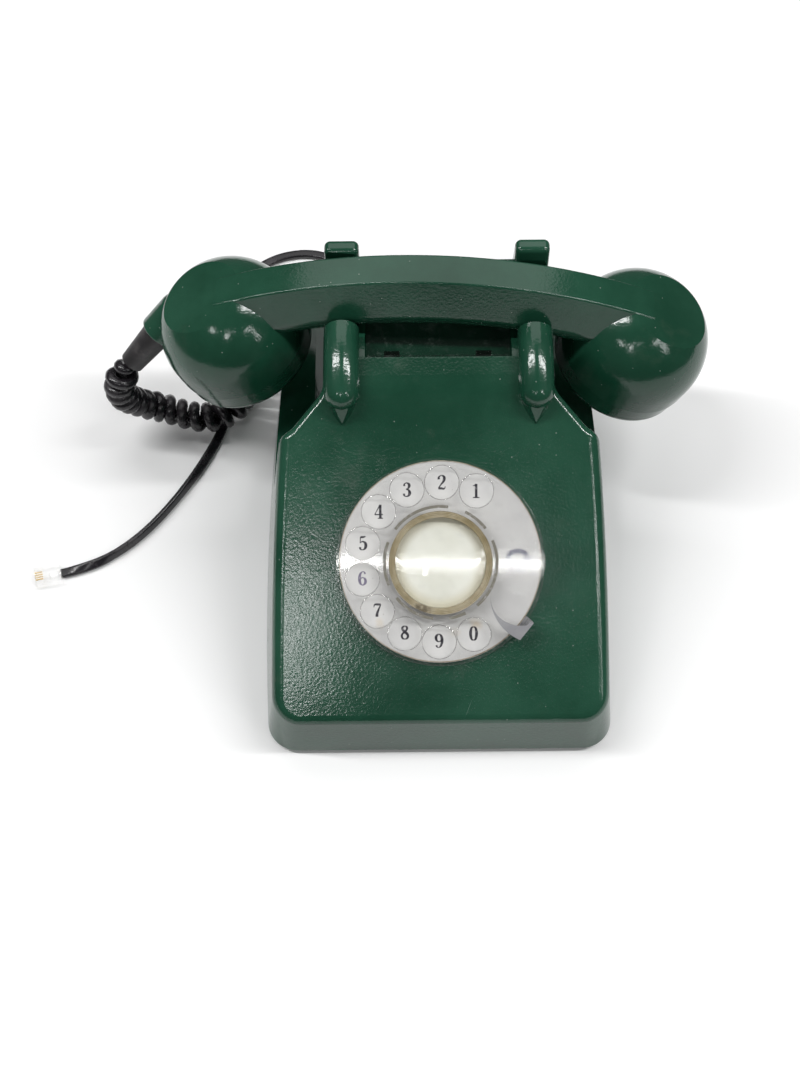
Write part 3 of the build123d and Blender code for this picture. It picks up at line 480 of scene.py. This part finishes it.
def green_plastic(name, deep, pale, gloss):
    finish = Finish(name, IOR=1.5)
    cloud = finish.noise(14, 5, 0.6).between(0.30, 0.72)
    marks = scratches(finish, 0.6, 5.0, 26, 0.024)
    for values in MORE_SCRATCHES:
        marks = marks.most(scratches(finish, *values))
    marks = marks * finish.noise(26, 2).between(0.34, 0.55)
    few = finish.first_part(finish.cells(SPECK_CELLS, out="Color")) > 0.93
    specks = finish.cells(SPECK_CELLS).between(0.13, 0.06) * few
    grime = finish.noise(38, 6, 0.7).between(0.56, 0.74)
    colour = finish.blend(cloud, deep, pale)
    colour = finish.blend(grime * 0.35, colour, GRIME_GREEN)
    colour = finish.blend(marks * 0.6, colour, SCRATCH_GREEN)
    finish.set(Base_Color=finish.blend(specks * 0.7, colour, DUST_COLOUR),
               Roughness=gloss + grime * 0.12 + marks * 0.25 + specks * 0.4 + cloud * 0.05)
    peel = finish.noise(850, 2, 0.5) + finish.noise(90, 2) * 0.6
    finish.bump(peel - marks * 0.6, 0.20, 0.0003)
    return finish.material


materials = {}
materials["green_plastic"] = green_plastic("green_plastic", DEEP_GREEN, PALE_GREEN, 0.115)
print("green plastic has", len(materials["green_plastic"].node_tree.nodes), "nodes")

# %% [markdown]
# ## Clear plastic
# The wheel is thin clear acrylic. Real refraction would be truest, but light then has to find its way
# through two surfaces to the numbers, which is slow and grainy. Thin clear plastic hardly bends what lies
# behind it, so it is made see-through by Alpha, and shines by its angle: little when seen straight on, a
# lot along the edges, as glass does. Dust is a little less clear, and the bar in the cradle, which nobody
# wipes, gets a duller version of the same plastic.

# %% Clear plastic
def clear_plastic(name, tint, least, dust_share):
    finish = Finish(name, Base_Color=tint, IOR=1.49)
    facing = finish.node("LayerWeight", None, {"Blend": 0.5}, out="Facing")
    dust = finish.noise(160, 5, 0.7).between(0.50, 0.78) * dust_share
    hairs = scratches(finish, 1.2, 4.0, 22, 0.03) * 0.25
    finish.set(Metallic=0.9 - dust.most(hairs).between(0.0, 0.2) * 0.7,
               Roughness=0.05 + dust * 0.6 + hairs,
               Alpha=least + facing ** 3.5 * 0.85 + dust * 0.5 + hairs * 0.5)
    finish.bump(finish.noise(260, 2), 0.03, 0.0002)
    return finish.material


materials["clear_plastic"] = clear_plastic("clear_plastic", (0.86, 0.86, 0.84), 0.045, 0.16)
DUSTY_CLEAR = clear_plastic("dusty_clear", (0.20, 0.25, 0.22), 0.14, 0.22)
print("clear plastic ready")

# %% [markdown]
# ## Opal, paper, rubber and metals
# The number plate is milky plastic with a lilac cast and yellow stains, the label is ivory card that aged
# at its rim. The other materials are plainer, and most of them are hidden: each gets a base colour that
# varies in clouds, its own shine, and a surface that isn't perfectly flat. One function covers them, and
# a table says how they differ.

# %% Opal plate and label card
DIAL_PLACE = Vector((0, -0.046564, 0.0666))
DIAL_TILT = math.radians(30)


def on_dial(u, v, w=0.0):
    """A place on the dial: across it, up it, and above the case's face."""
    return DIAL_PLACE + Vector((u, v * math.cos(DIAL_TILT) - w * math.sin(DIAL_TILT),
                                v * math.sin(DIAL_TILT) + w * math.cos(DIAL_TILT)))


def stain(finish, u, v, size):
    """1 at a place on the dial, fading out over its size, with a ragged edge."""
    away = finish.away_from(on_dial(u, v)) + finish.noise(300, 3) * size * 0.7
    return away.between(size * 1.35, size * 0.5)


def opal_plastic():
    finish = Finish("opal_plastic", IOR=1.49)
    cloud = finish.noise(45, 4, 0.6)
    colour = finish.blend(cloud.between(0.3, 0.7), (0.56, 0.555, 0.55), (0.65, 0.645, 0.63))
    yellow = stain(finish, -0.0262, -0.0262, 0.0040).most(stain(finish, 0.0148, -0.0268, 0.0046))
    yellow = yellow.most(stain(finish, 0.0060, -0.0300, 0.0040) * 0.5)
    colour = finish.blend(yellow * 0.75, colour, (0.52, 0.38, 0.18))
    specks = finish.cells(260).between(0.07, 0.03) * (finish.noise(60, 2) > 0.56)
    finish.set(Base_Color=finish.blend(specks * 0.7, colour, (0.10, 0.085, 0.06)),
               Roughness=0.32 + cloud * 0.14)
    finish.bump(finish.noise(500, 2), 0.04, 0.0002)
    return finish.material


def label_paper():
    finish = Finish("label_paper")
    cloud = finish.noise(70, 4, 0.6)
    colour = finish.blend(cloud.between(0.3, 0.7), (0.76, 0.765, 0.68), (0.84, 0.845, 0.77))
    rim = finish.away_from(on_dial(0, 0, 0.0054)).between(0.0135, 0.0192)
    colour = finish.blend(rim * 0.5, colour, (0.50, 0.44, 0.26))
    colour = finish.blend(stain(finish, 0.0105, -0.0125, 0.0035) * 0.6, colour, (0.55, 0.46, 0.20))
    specks = finish.cells(300).between(0.07, 0.02) * (finish.noise(90, 2) > 0.60)
    fibres = finish.noise(900, 4, 0.7)
    finish.set(Base_Color=finish.blend(specks, colour, (0.06, 0.045, 0.03)),
               Roughness=0.62 + fibres * 0.2)
    finish.bump(fibres, 0.1, 0.0001)
    return finish.material


materials["opal_plastic"] = opal_plastic()
materials["label_paper"] = label_paper()
print("opal and paper ready")

# %% The plainer finishes
def plain(name, low, high, metallic, rough, grain, bump, wear, wear_share, rust=0.0):
    """A clouded colour with fine grain, a few rubbed or dirty places, and rust where it is asked for."""
    finish = Finish(name)
    cloud = finish.noise(grain * 0.12, 4, 0.6)
    fine = finish.noise(grain, 3, 0.6)
    rubbed = (cloud + fine * 0.3).between(0.68, 0.82) * wear_share
    colour = finish.blend(rubbed, finish.blend(cloud.between(0.3, 0.7), low, high), wear)
    shine = rough + fine * 0.12 + rubbed * 0.2
    if rust:
        rusty = finish.noise(grain * 0.3, 6, 0.7).between(0.72 - rust, 0.80 - rust)
        colour = finish.blend(rusty, colour, (0.13, 0.045, 0.018))
        shine = shine + rusty * 0.35
        finish.set(Metallic=metallic - rusty * metallic)
    else:
        finish.set(Metallic=metallic)
    finish.set(Base_Color=colour, Roughness=shine)
    finish.bump(fine, bump, 0.0002)
    return finish.material


STOP_RUST = 0.10
# Two colours, metal or not, roughness, grain, bump, the colour of wear and how much of it.
PLAIN_FINISHES = {
    "black_rubber": ((0.012, 0.011, 0.012), (0.03, 0.027, 0.029),
        0.0, 0.38, 700, 0.2, (0.07, 0.065, 0.065), 0.5),
    "black_cord": ((0.007, 0.006, 0.008), (0.016, 0.014, 0.017),
        0.0, 0.2, 520, 0.08, (0.05, 0.045, 0.05), 0.5),
    "plated_steel": ((0.52, 0.52, 0.51), (0.62, 0.61, 0.58),
        0.95, 0.26, 400, 0.06, (0.3, 0.27, 0.22), 0.6),
    "stop_steel": ((0.27, 0.27, 0.285), (0.35, 0.35, 0.36),
        0.35, 0.4, 600, 0.12, (0.2, 0.19, 0.19), 0.5),
    "grimy_ring": ((0.23, 0.185, 0.095), (0.46, 0.41, 0.3),
        0.1, 0.38, 520, 0.25, (0.085, 0.065, 0.035), 0.8),
    "painted_base": ((0.026, 0.03, 0.029), (0.045, 0.05, 0.048),
        0.0, 0.42, 500, 0.25, (0.16, 0.15, 0.14), 0.5),
    "brass": ((0.6, 0.42, 0.16), (0.72, 0.53, 0.24),
        0.95, 0.28, 500, 0.06, (0.25, 0.15, 0.06), 0.5),
    "gong_metal": ((0.55, 0.53, 0.49), (0.68, 0.66, 0.61),
        0.95, 0.16, 350, 0.03, (0.32, 0.28, 0.22), 0.5),
    "contact_metal": ((0.7, 0.55, 0.28), (0.82, 0.68, 0.4),
        0.95, 0.2, 700, 0.03, (0.4, 0.33, 0.2), 0.4),
    "insulator": ((0.1, 0.045, 0.02), (0.15, 0.07, 0.03),
        0.0, 0.45, 400, 0.12, (0.2, 0.12, 0.07), 0.4),
    "winding": ((0.24, 0.075, 0.022), (0.36, 0.12, 0.035),
        0.55, 0.34, 1600, 0.5, (0.12, 0.04, 0.02), 0.5),
    "iron": ((0.2, 0.2, 0.2), (0.3, 0.29, 0.28),
        0.85, 0.42, 500, 0.15, (0.1, 0.07, 0.05), 0.6),
    "aluminium_can": ((0.6, 0.61, 0.62), (0.72, 0.72, 0.73),
        0.95, 0.33, 300, 0.05, (0.4, 0.4, 0.4), 0.5),
    "board": ((0.2, 0.095, 0.035), (0.27, 0.14, 0.06),
        0.0, 0.5, 450, 0.12, (0.12, 0.06, 0.03), 0.4),
}
for name, values in PLAIN_FINISHES.items():
    materials[name] = plain(name + "_finish", *values, rust=STOP_RUST if name == "stop_steel" else 0.0)
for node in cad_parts.values():
    for holder in node.material_slots:
        holder.material = materials[holder.material.name.split(".")[0]]
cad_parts["label_ring"].material_slots[0].material = materials["grimy_ring"]
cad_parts["cradle_bar"].material_slots[0].material = DUSTY_CLEAR
print("finishes:", ", ".join(sorted(materials)))


def painted(piece, finish):
    """Gives a new piece its material."""
    piece.data.materials.clear()
    piece.data.materials.append(finish)


painted(curly_cord, materials["black_cord"])
painted(flat_lead, materials["black_cord"])

# %% [markdown]
# ## The printed numbers
# The ten numerals are printed in dark ink, upright, one under each finger hole. A Text object would do,
# but the font that comes with Blender has no serifs and one thickness of line. These figures are drawn
# with strokes that swell and thin, as a broad pen draws them: each stroke is a few points with a half
# width, smoothed and given a hair of thickness.

# %% Strokes
FIGURE_HEIGHT = 0.0062
FIGURE_WEIGHT = 1.18
FIGURE_MIDDLE = 0.31                 # the middle of a figure's width, where its height is 1
PLATE_LIFT = 0.0026                  # the number plate's face, above the case's face
INK_LOW, INK_HIGH = PLATE_LIFT - 0.0001, PLATE_LIFT + 0.00004
INK_STEP = 0.00001                   # crossing strokes lie this much above each other
STROKES = {
    "1": [
        [(0.32, 0.03, 0.075), (0.32, 0.5, 0.075), (0.32, 0.96, 0.075)],
        [(0.3, 0.95, 0.035), (0.2, 0.86, 0.03), (0.08, 0.82, 0.015)],
        [(0.1, 0.025, 0.025), (0.32, 0.03, 0.035), (0.54, 0.025, 0.025)],
    ],
    "2": [
        [(0.13, 0.7, 0.075), (0.12, 0.84, 0.05), (0.29, 0.965, 0.03), (0.47, 0.88, 0.07),
         (0.5, 0.72, 0.085), (0.43, 0.54, 0.065), (0.26, 0.33, 0.04), (0.1, 0.1, 0.03)],
        [(0.08, 0.06, 0.05), (0.25, 0.08, 0.065), (0.44, 0.05, 0.055), (0.53, 0.1, 0.03),
         (0.56, 0.22, 0.02)],
    ],
    "3": [
        [(0.14, 0.75, 0.07), (0.15, 0.88, 0.04), (0.29, 0.965, 0.028), (0.45, 0.88, 0.07),
         (0.48, 0.75, 0.078), (0.4, 0.59, 0.05), (0.25, 0.53, 0.025)],
        [(0.25, 0.53, 0.025), (0.44, 0.46, 0.055), (0.51, 0.28, 0.088), (0.45, 0.11, 0.065),
         (0.28, 0.035, 0.03), (0.13, 0.1, 0.045), (0.12, 0.23, 0.07)],
    ],
    "4": [
        [(0.42, 0.03, 0.072), (0.42, 0.5, 0.072), (0.42, 0.96, 0.072)],
        [(0.4, 0.95, 0.035), (0.22, 0.62, 0.025), (0.04, 0.29, 0.025)],
        [(0.03, 0.28, 0.032), (0.3, 0.28, 0.032), (0.6, 0.28, 0.032)],
        [(0.24, 0.025, 0.025), (0.42, 0.03, 0.032), (0.6, 0.025, 0.025)],
    ],
    "5": [
        [(0.15, 0.91, 0.055), (0.32, 0.92, 0.06), (0.5, 0.96, 0.03)],
        [(0.14, 0.93, 0.028), (0.13, 0.72, 0.025), (0.115, 0.5, 0.025)],
        [(0.115, 0.5, 0.02), (0.27, 0.61, 0.035), (0.46, 0.52, 0.072), (0.51, 0.32, 0.088),
         (0.44, 0.12, 0.065), (0.28, 0.035, 0.03), (0.13, 0.09, 0.045), (0.11, 0.22, 0.07)],
    ],
    "6": [
        [(0.49, 0.8, 0.06), (0.45, 0.92, 0.038), (0.33, 0.965, 0.026), (0.17, 0.82, 0.062),
         (0.1, 0.5, 0.085), (0.15, 0.18, 0.07), (0.31, 0.035, 0.03), (0.47, 0.14, 0.068),
         (0.52, 0.31, 0.08), (0.46, 0.48, 0.06), (0.32, 0.565, 0.03), (0.18, 0.48, 0.035),
         (0.11, 0.38, 0.035)],
    ],
    "7": [
        [(0.07, 0.7, 0.018), (0.08, 0.82, 0.03), (0.14, 0.9, 0.05), (0.3, 0.91, 0.065),
         (0.54, 0.9, 0.06)],
        [(0.55, 0.9, 0.025), (0.4, 0.58, 0.05), (0.29, 0.28, 0.075), (0.27, 0.05, 0.085)],
    ],
    "8": [
        [(0.31, 0.965, 0.028), (0.45, 0.88, 0.058), (0.46, 0.74, 0.058), (0.34, 0.57, 0.055),
         (0.16, 0.42, 0.055), (0.1, 0.25, 0.062), (0.17, 0.1, 0.055), (0.31, 0.035, 0.028)],
        [(0.31, 0.965, 0.028), (0.17, 0.88, 0.058), (0.15, 0.75, 0.068), (0.26, 0.59, 0.075),
         (0.46, 0.42, 0.08), (0.53, 0.25, 0.07), (0.46, 0.1, 0.058), (0.31, 0.035, 0.028)],
    ],
    "0": [
        [(0.31, 0.965, 0.028), (0.45, 0.88, 0.062), (0.52, 0.5, 0.085), (0.45, 0.12, 0.062),
         (0.31, 0.035, 0.028)],
        [(0.31, 0.965, 0.028), (0.17, 0.88, 0.062), (0.1, 0.5, 0.085), (0.17, 0.12, 0.062),
         (0.31, 0.035, 0.028)],
    ],
}
STROKES["9"] = [
    [(2 * FIGURE_MIDDLE - x, 1 - y, wide) for x, y, wide in stroke] for stroke in STROKES["6"]
]


def softly(points, fine=7):
    """More points between the given ones, on a smooth curve through them."""
    made = []
    for n in range(len(points) - 1):
        a, b = points[max(n - 1, 0)], points[n]
        c, d = points[n + 1], points[min(n + 2, len(points) - 1)]
        for step in range(fine):
            t = step / fine
            made.append(tuple(
                0.5 * (2 * b[i] + (c[i] - a[i]) * t + (2 * a[i] - 5 * b[i] + 4 * c[i] - d[i]) * t * t
                       + (3 * b[i] - a[i] - 3 * c[i] + d[i]) * t ** 3) for i in range(3)))
    return made + [points[-1]]


def ink(name, strokes, low, high, place):
    """Closed flat ribbons over the strokes, placed by a function of across, up and height."""
    places, faces = [], []
    for lift, stroke in enumerate(strokes):
        line, first = softly(stroke), len(places)
        top = high + lift * INK_STEP
        for n, (x, y, wide) in enumerate(line):
            a, b = line[max(n - 1, 0)], line[min(n + 1, len(line) - 1)]
            along = Vector((b[0] - a[0], b[1] - a[1])).normalized()
            dx, dy = -along.y * wide, along.x * wide
            places += [place(x + dx, y + dy, top), place(x - dx, y - dy, top),
                       place(x - dx, y - dy, low), place(x + dx, y + dy, low)]
        faces += [tuple(first + corner for corner in face) for face in tube_faces(len(line), 4)]
    return meshed(name, places, faces)


def ink_finish(name, colour, worn):
    """Ink that has worn thin in places."""
    finish = Finish(name, Roughness=0.5)
    thin = finish.noise(700, 4, 0.7).between(0.52, 0.72) * worn
    finish.set(Base_Color=finish.blend(thin, colour, (0.5, 0.49, 0.5)))
    finish.bump(finish.noise(900, 2), 0.1, 0.0001)
    return finish.material


DARK_INK = ink_finish("number_ink", (0.020, 0.018, 0.026), 0.5)
FADED_INK = ink_finish("faded_ink", (0.17, 0.15, 0.22), 0.5)
FIRST_HOLE, HOLE_STEP, HOLE_CIRCLE = math.radians(63), 2 * math.pi / 14, 0.034


def hole_middle(n):
    """Across and up the dial, the middle of finger hole n."""
    angle = FIRST_HOLE + HOLE_STEP * n
    return HOLE_CIRCLE * math.cos(angle), HOLE_CIRCLE * math.sin(angle)


for n, figure in enumerate("1234567890"):
    def place(x, y, w, middle=hole_middle(n)):
        return on_dial(middle[0] + (x - FIGURE_MIDDLE) * FIGURE_HEIGHT,
                       middle[1] + (y - 0.5) * FIGURE_HEIGHT, w)

    strokes = [[(x, y, wide * FIGURE_WEIGHT) for x, y, wide in stroke] for stroke in STROKES[figure]]
    number = ink("number_" + figure, strokes, INK_LOW, INK_HIGH, place)
    painted(number, FADED_INK if figure == "6" else DARK_INK)
    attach(number, "base")
print("numbers printed")

# %% [markdown]
# ## The turning arrow
# At the right of the dial, where there is no finger hole, a faded mark shows which way the wheel turns.
# It is a plain curved arrow with a few dashes under it, drawn with the same strokes as the numbers. Round
# the wheel's hub, the shadows of its raised moulded arcs are painted as dark arcs by the same function.

# %% Arrow
def arc_stroke(radius, start, end, wide):
    """A stroke along an arc about the dial's middle, in metres."""
    made = []
    for n in range(9):
        a = math.radians(start + (end - start) * n / 8)
        made.append((radius * math.cos(a), radius * math.sin(a), wide))
    return made


ARROW = [                            # the bow, its head, two dashes and a long one
    [(0.0288, 0.0012, 0.0009), (0.03, 0.0034, 0.001), (0.033, 0.0044, 0.001),
     (0.0362, 0.0034, 0.001), (0.0372, 0.0016, 0.0008)],
    [(0.0373, 0.0017, 0.0022), (0.0374, -0.0004, 0.0002)],
    [(0.029, -0.0018, 0.0008), (0.0312, -0.0018, 0.0008)],
    [(0.0322, -0.0018, 0.0008), (0.0344, -0.0018, 0.0008)],
    [(0.029, -0.0042, 0.0003), (0.0366, -0.0042, 0.0003)],
]
arrow = ink("turning_arrow", ARROW, INK_LOW, INK_HIGH, on_dial)
painted(arrow, ink_finish("arrow_ink", (0.20, 0.20, 0.25), 0.6))
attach(arrow, "base")
print("arrow drawn")

# %% Painted shadows round the hub
# painted shade: dark arcs where the hub's raised arcs cast their shadows on the wheel
HUB_SHADOW_ARCS = [(82, 143), (158, 203), (218, 262), (278, 296), (310, 383), (37, 64)]
HUB_RADIUS, HUB_HALF_WIDTH = 0.0239, 0.00062
WHEEL_TOP = 0.0078                   # the clear wheel's face near its hub, above the case's face
hub_shadow_strokes = [arc_stroke(HUB_RADIUS, *mark, HUB_HALF_WIDTH) for mark in HUB_SHADOW_ARCS]
hub_arc_shadows = ink("hub_arc_shadows", hub_shadow_strokes, WHEEL_TOP, WHEEL_TOP + 0.00026, on_dial)
painted(hub_arc_shadows, ink_finish("hub_arc_shade", (0.16, 0.15, 0.12), 0.7))
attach(hub_arc_shadows, "dial_wheel")
print("hub marks drawn:", len(HUB_SHADOW_ARCS))

# %% [markdown]
# ## Turned rings on the dial
# Round the label runs a band of fine grooves that hold years of dirt, the number plate has a brown line
# drawn at its edge, and each finger hole has a lip of greyer, less clear plastic: a painted outline that
# stands for the hole's wall seen edge-on. All are turned shapes. A small section is drawn as a chain of
# points and spun once round an axis, which is what the Spin tool does; a Screw modifier would give the
# same.

# %% Turned rings
DIAL_NORMAL = Vector((0, -math.sin(DIAL_TILT), math.cos(DIAL_TILT)))


def turned(name, section, centre, steps=96):
    """Spins a closed section, given as (radius, height) points, round the dial's direction."""
    mesh = bpy.data.meshes.new(name)
    piece = linked(name, mesh)
    places = [centre + Vector((r, 0, 0)) + DIAL_NORMAL * w for r, w in section]
    mesh.from_pydata(places, [(n, (n + 1) % len(places)) for n in range(len(places))], [])
    only(piece)
    bpy.ops.object.mode_set(mode="EDIT")
    bpy.ops.mesh.select_all(action="SELECT")
    bpy.ops.mesh.spin(steps=steps, angle=2 * math.pi, center=centre, axis=DIAL_NORMAL)
    bpy.ops.mesh.select_all(action="SELECT")
    bpy.ops.mesh.remove_doubles(threshold=0.000005)
    bpy.ops.mesh.normals_make_consistent(inside=False)
    bpy.ops.object.mode_set(mode="OBJECT")
    return smooth(piece, 50)


def grooves(inner, outer, low, high, count, depth=0.00028):
    """A band's section with rounded grooves in its top."""
    made = [(inner, low)]
    for n in range(count * 4 + 1):
        share = n / (count * 4)
        dip = 0.5 - 0.5 * math.cos(2 * math.pi * count * share)
        made.append((inner + (outer - inner) * share, high - depth * dip))
    return made + [(outer, low)]


BAND_INNER, BAND_OUTER = 0.01945, 0.0220
BAND_LOW, BAND_HIGH, BAND_GROOVES = 0.0079, 0.00872, 4
band_section = grooves(BAND_INNER, BAND_OUTER, BAND_LOW, BAND_HIGH, BAND_GROOVES)
band = turned("grooved_band", band_section, DIAL_PLACE)
painted(band, materials["grimy_ring"])
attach(band, "dial_wheel")
# a thin brown ring drawn at the number plate's edge, under the wheel's rim
EDGE_SECTION = [(0.0429, 0.0024), (0.0429, 0.00272), (0.0433, 0.00272), (0.0433, 0.0024)]
edge_line = turned("plate_edge_line", EDGE_SECTION, DIAL_PLACE)
painted(edge_line, plain("plate_edge_brown", (0.20, 0.15, 0.08), (0.50, 0.46, 0.38),
                         0.0, 0.5, 420, 0.1, (0.05, 0.04, 0.03), 0.8))
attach(edge_line, "base")
print("band and edge line turned")

# %% Lips of the finger holes
# painted outline: the lips are greyer and less clear than the wheel, standing for the hole walls seen
# edge-on
LIP_OUTLINE_CLEAR = clear_plastic("lip_outline_clear", (0.55, 0.54, 0.53), 0.30, 0.1)
LIP_SECTION = [
    (0.00712, 0.0060), (0.00712, 0.00632), (0.00722, 0.00644),
    (0.00738, 0.00644), (0.0075, 0.00630), (0.0075, 0.0060),
]
lips = [turned("hole_lip", LIP_SECTION, on_dial(*hole_middle(n)), 48) for n in range(10)]
begin()
for lip in lips:
    lip.select_set(True)
bpy.context.view_layer.objects.active = lips[0]
bpy.ops.object.join()
hole_lips = named("hole_lips")
painted(hole_lips, LIP_OUTLINE_CLEAR)
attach(hole_lips, "dial_wheel")
print("hole lips:", len(hole_lips.data.vertices), "points")

# %% [markdown]
# ## Floor and light
# The telephone stands on a plain pale floor. A large soft lamp hangs behind it and a long one at each
# side; one thin tube in front draws the bright bar across the dial, a near lamp the sheen at the case's
# left, a tube the line along its right edge, and two small ceiling lamps the dashes on the bulbs. A pale
# floor under shiny plastic would grey every flank, so the floor hides from reflections, and a card just
# in front of the case lights its front wall. A lamp's brightness is given as it is seen, and the power
# follows from the size, so a lamp can be made larger without growing brighter.

# %% Floor
begin()
bpy.ops.mesh.primitive_plane_add(size=6, location=(0, 0, -0.0002))
floor = settle(named("floor"))
floor_finish = Finish("floor_paint", Roughness=0.85)
floor_cloud = floor_finish.noise(2.0, 2)
floor_finish.set(Base_Color=floor_finish.blend(floor_cloud, (0.90, 0.90, 0.90), (0.93, 0.93, 0.93)))
painted(floor, floor_finish.material)
floor.visible_glossy = False
begin()
bpy.ops.mesh.primitive_plane_add(size=1, location=(0, -0.138, -0.0001), scale=(0.5, 0.05, 1))
front_card = settle(named("front_card"))
painted(front_card, floor_finish.material)
print("floor and card laid")

# %% Lamps
def lamp(name, place, aim, wide, high, brightness):
    """A rectangular lamp that looks at a point."""
    data = bpy.data.lights.new(name, "AREA")
    data.shape = "RECTANGLE"
    data.size, data.size_y = wide, high
    data.energy = brightness * math.pi * wide * high
    piece = linked(name, data)
    piece.location = place
    piece.rotation_euler = (Vector(aim) - Vector(place)).to_track_quat("-Z", "Y").to_euler()


lamp("back_lamp", (0.0, 0.95, 1.5), (0, 0, 0), 1.8, 1.1, 1.3)
lamp("left_tube", (-0.95, 0.15, 1.55), (0, 0, 0.05), 0.10, 1.3, 42)
lamp("right_tube", (1.0, 0.05, 1.55), (0, 0, 0.05), 0.10, 1.3, 42)
lamp("long_tube", (-0.02, -0.90, 1.30), (0, -0.05, 0.06), 0.46, 0.009, 26)
lamp("near_lamp", (-0.150, -0.62, 0.768), (-0.065, -0.075, 0.055), 0.04, 0.13, 26)
lamp("edge_tube", (1.03, -0.83, 1.05), (0.07, -0.05, 0.06), 0.04, 0.7, 22)
for x in (-1.15, 1.15):
    lamp("ceiling_lamp", (x, -1.30, 1.90), (0, 0, 0.08), 0.36, 0.05, 45)
world = bpy.data.worlds.new("studio")
world.use_nodes = True
sky = world.node_tree.nodes["Background"].inputs
sky["Color"].default_value = (1.0, 1.0, 1.0, 1.0)
sky["Strength"].default_value = 0.10
bpy.context.scene.world = world
bpy.context.scene.view_settings.view_transform = "Standard"
print("lamps placed")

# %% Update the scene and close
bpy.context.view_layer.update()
begin()
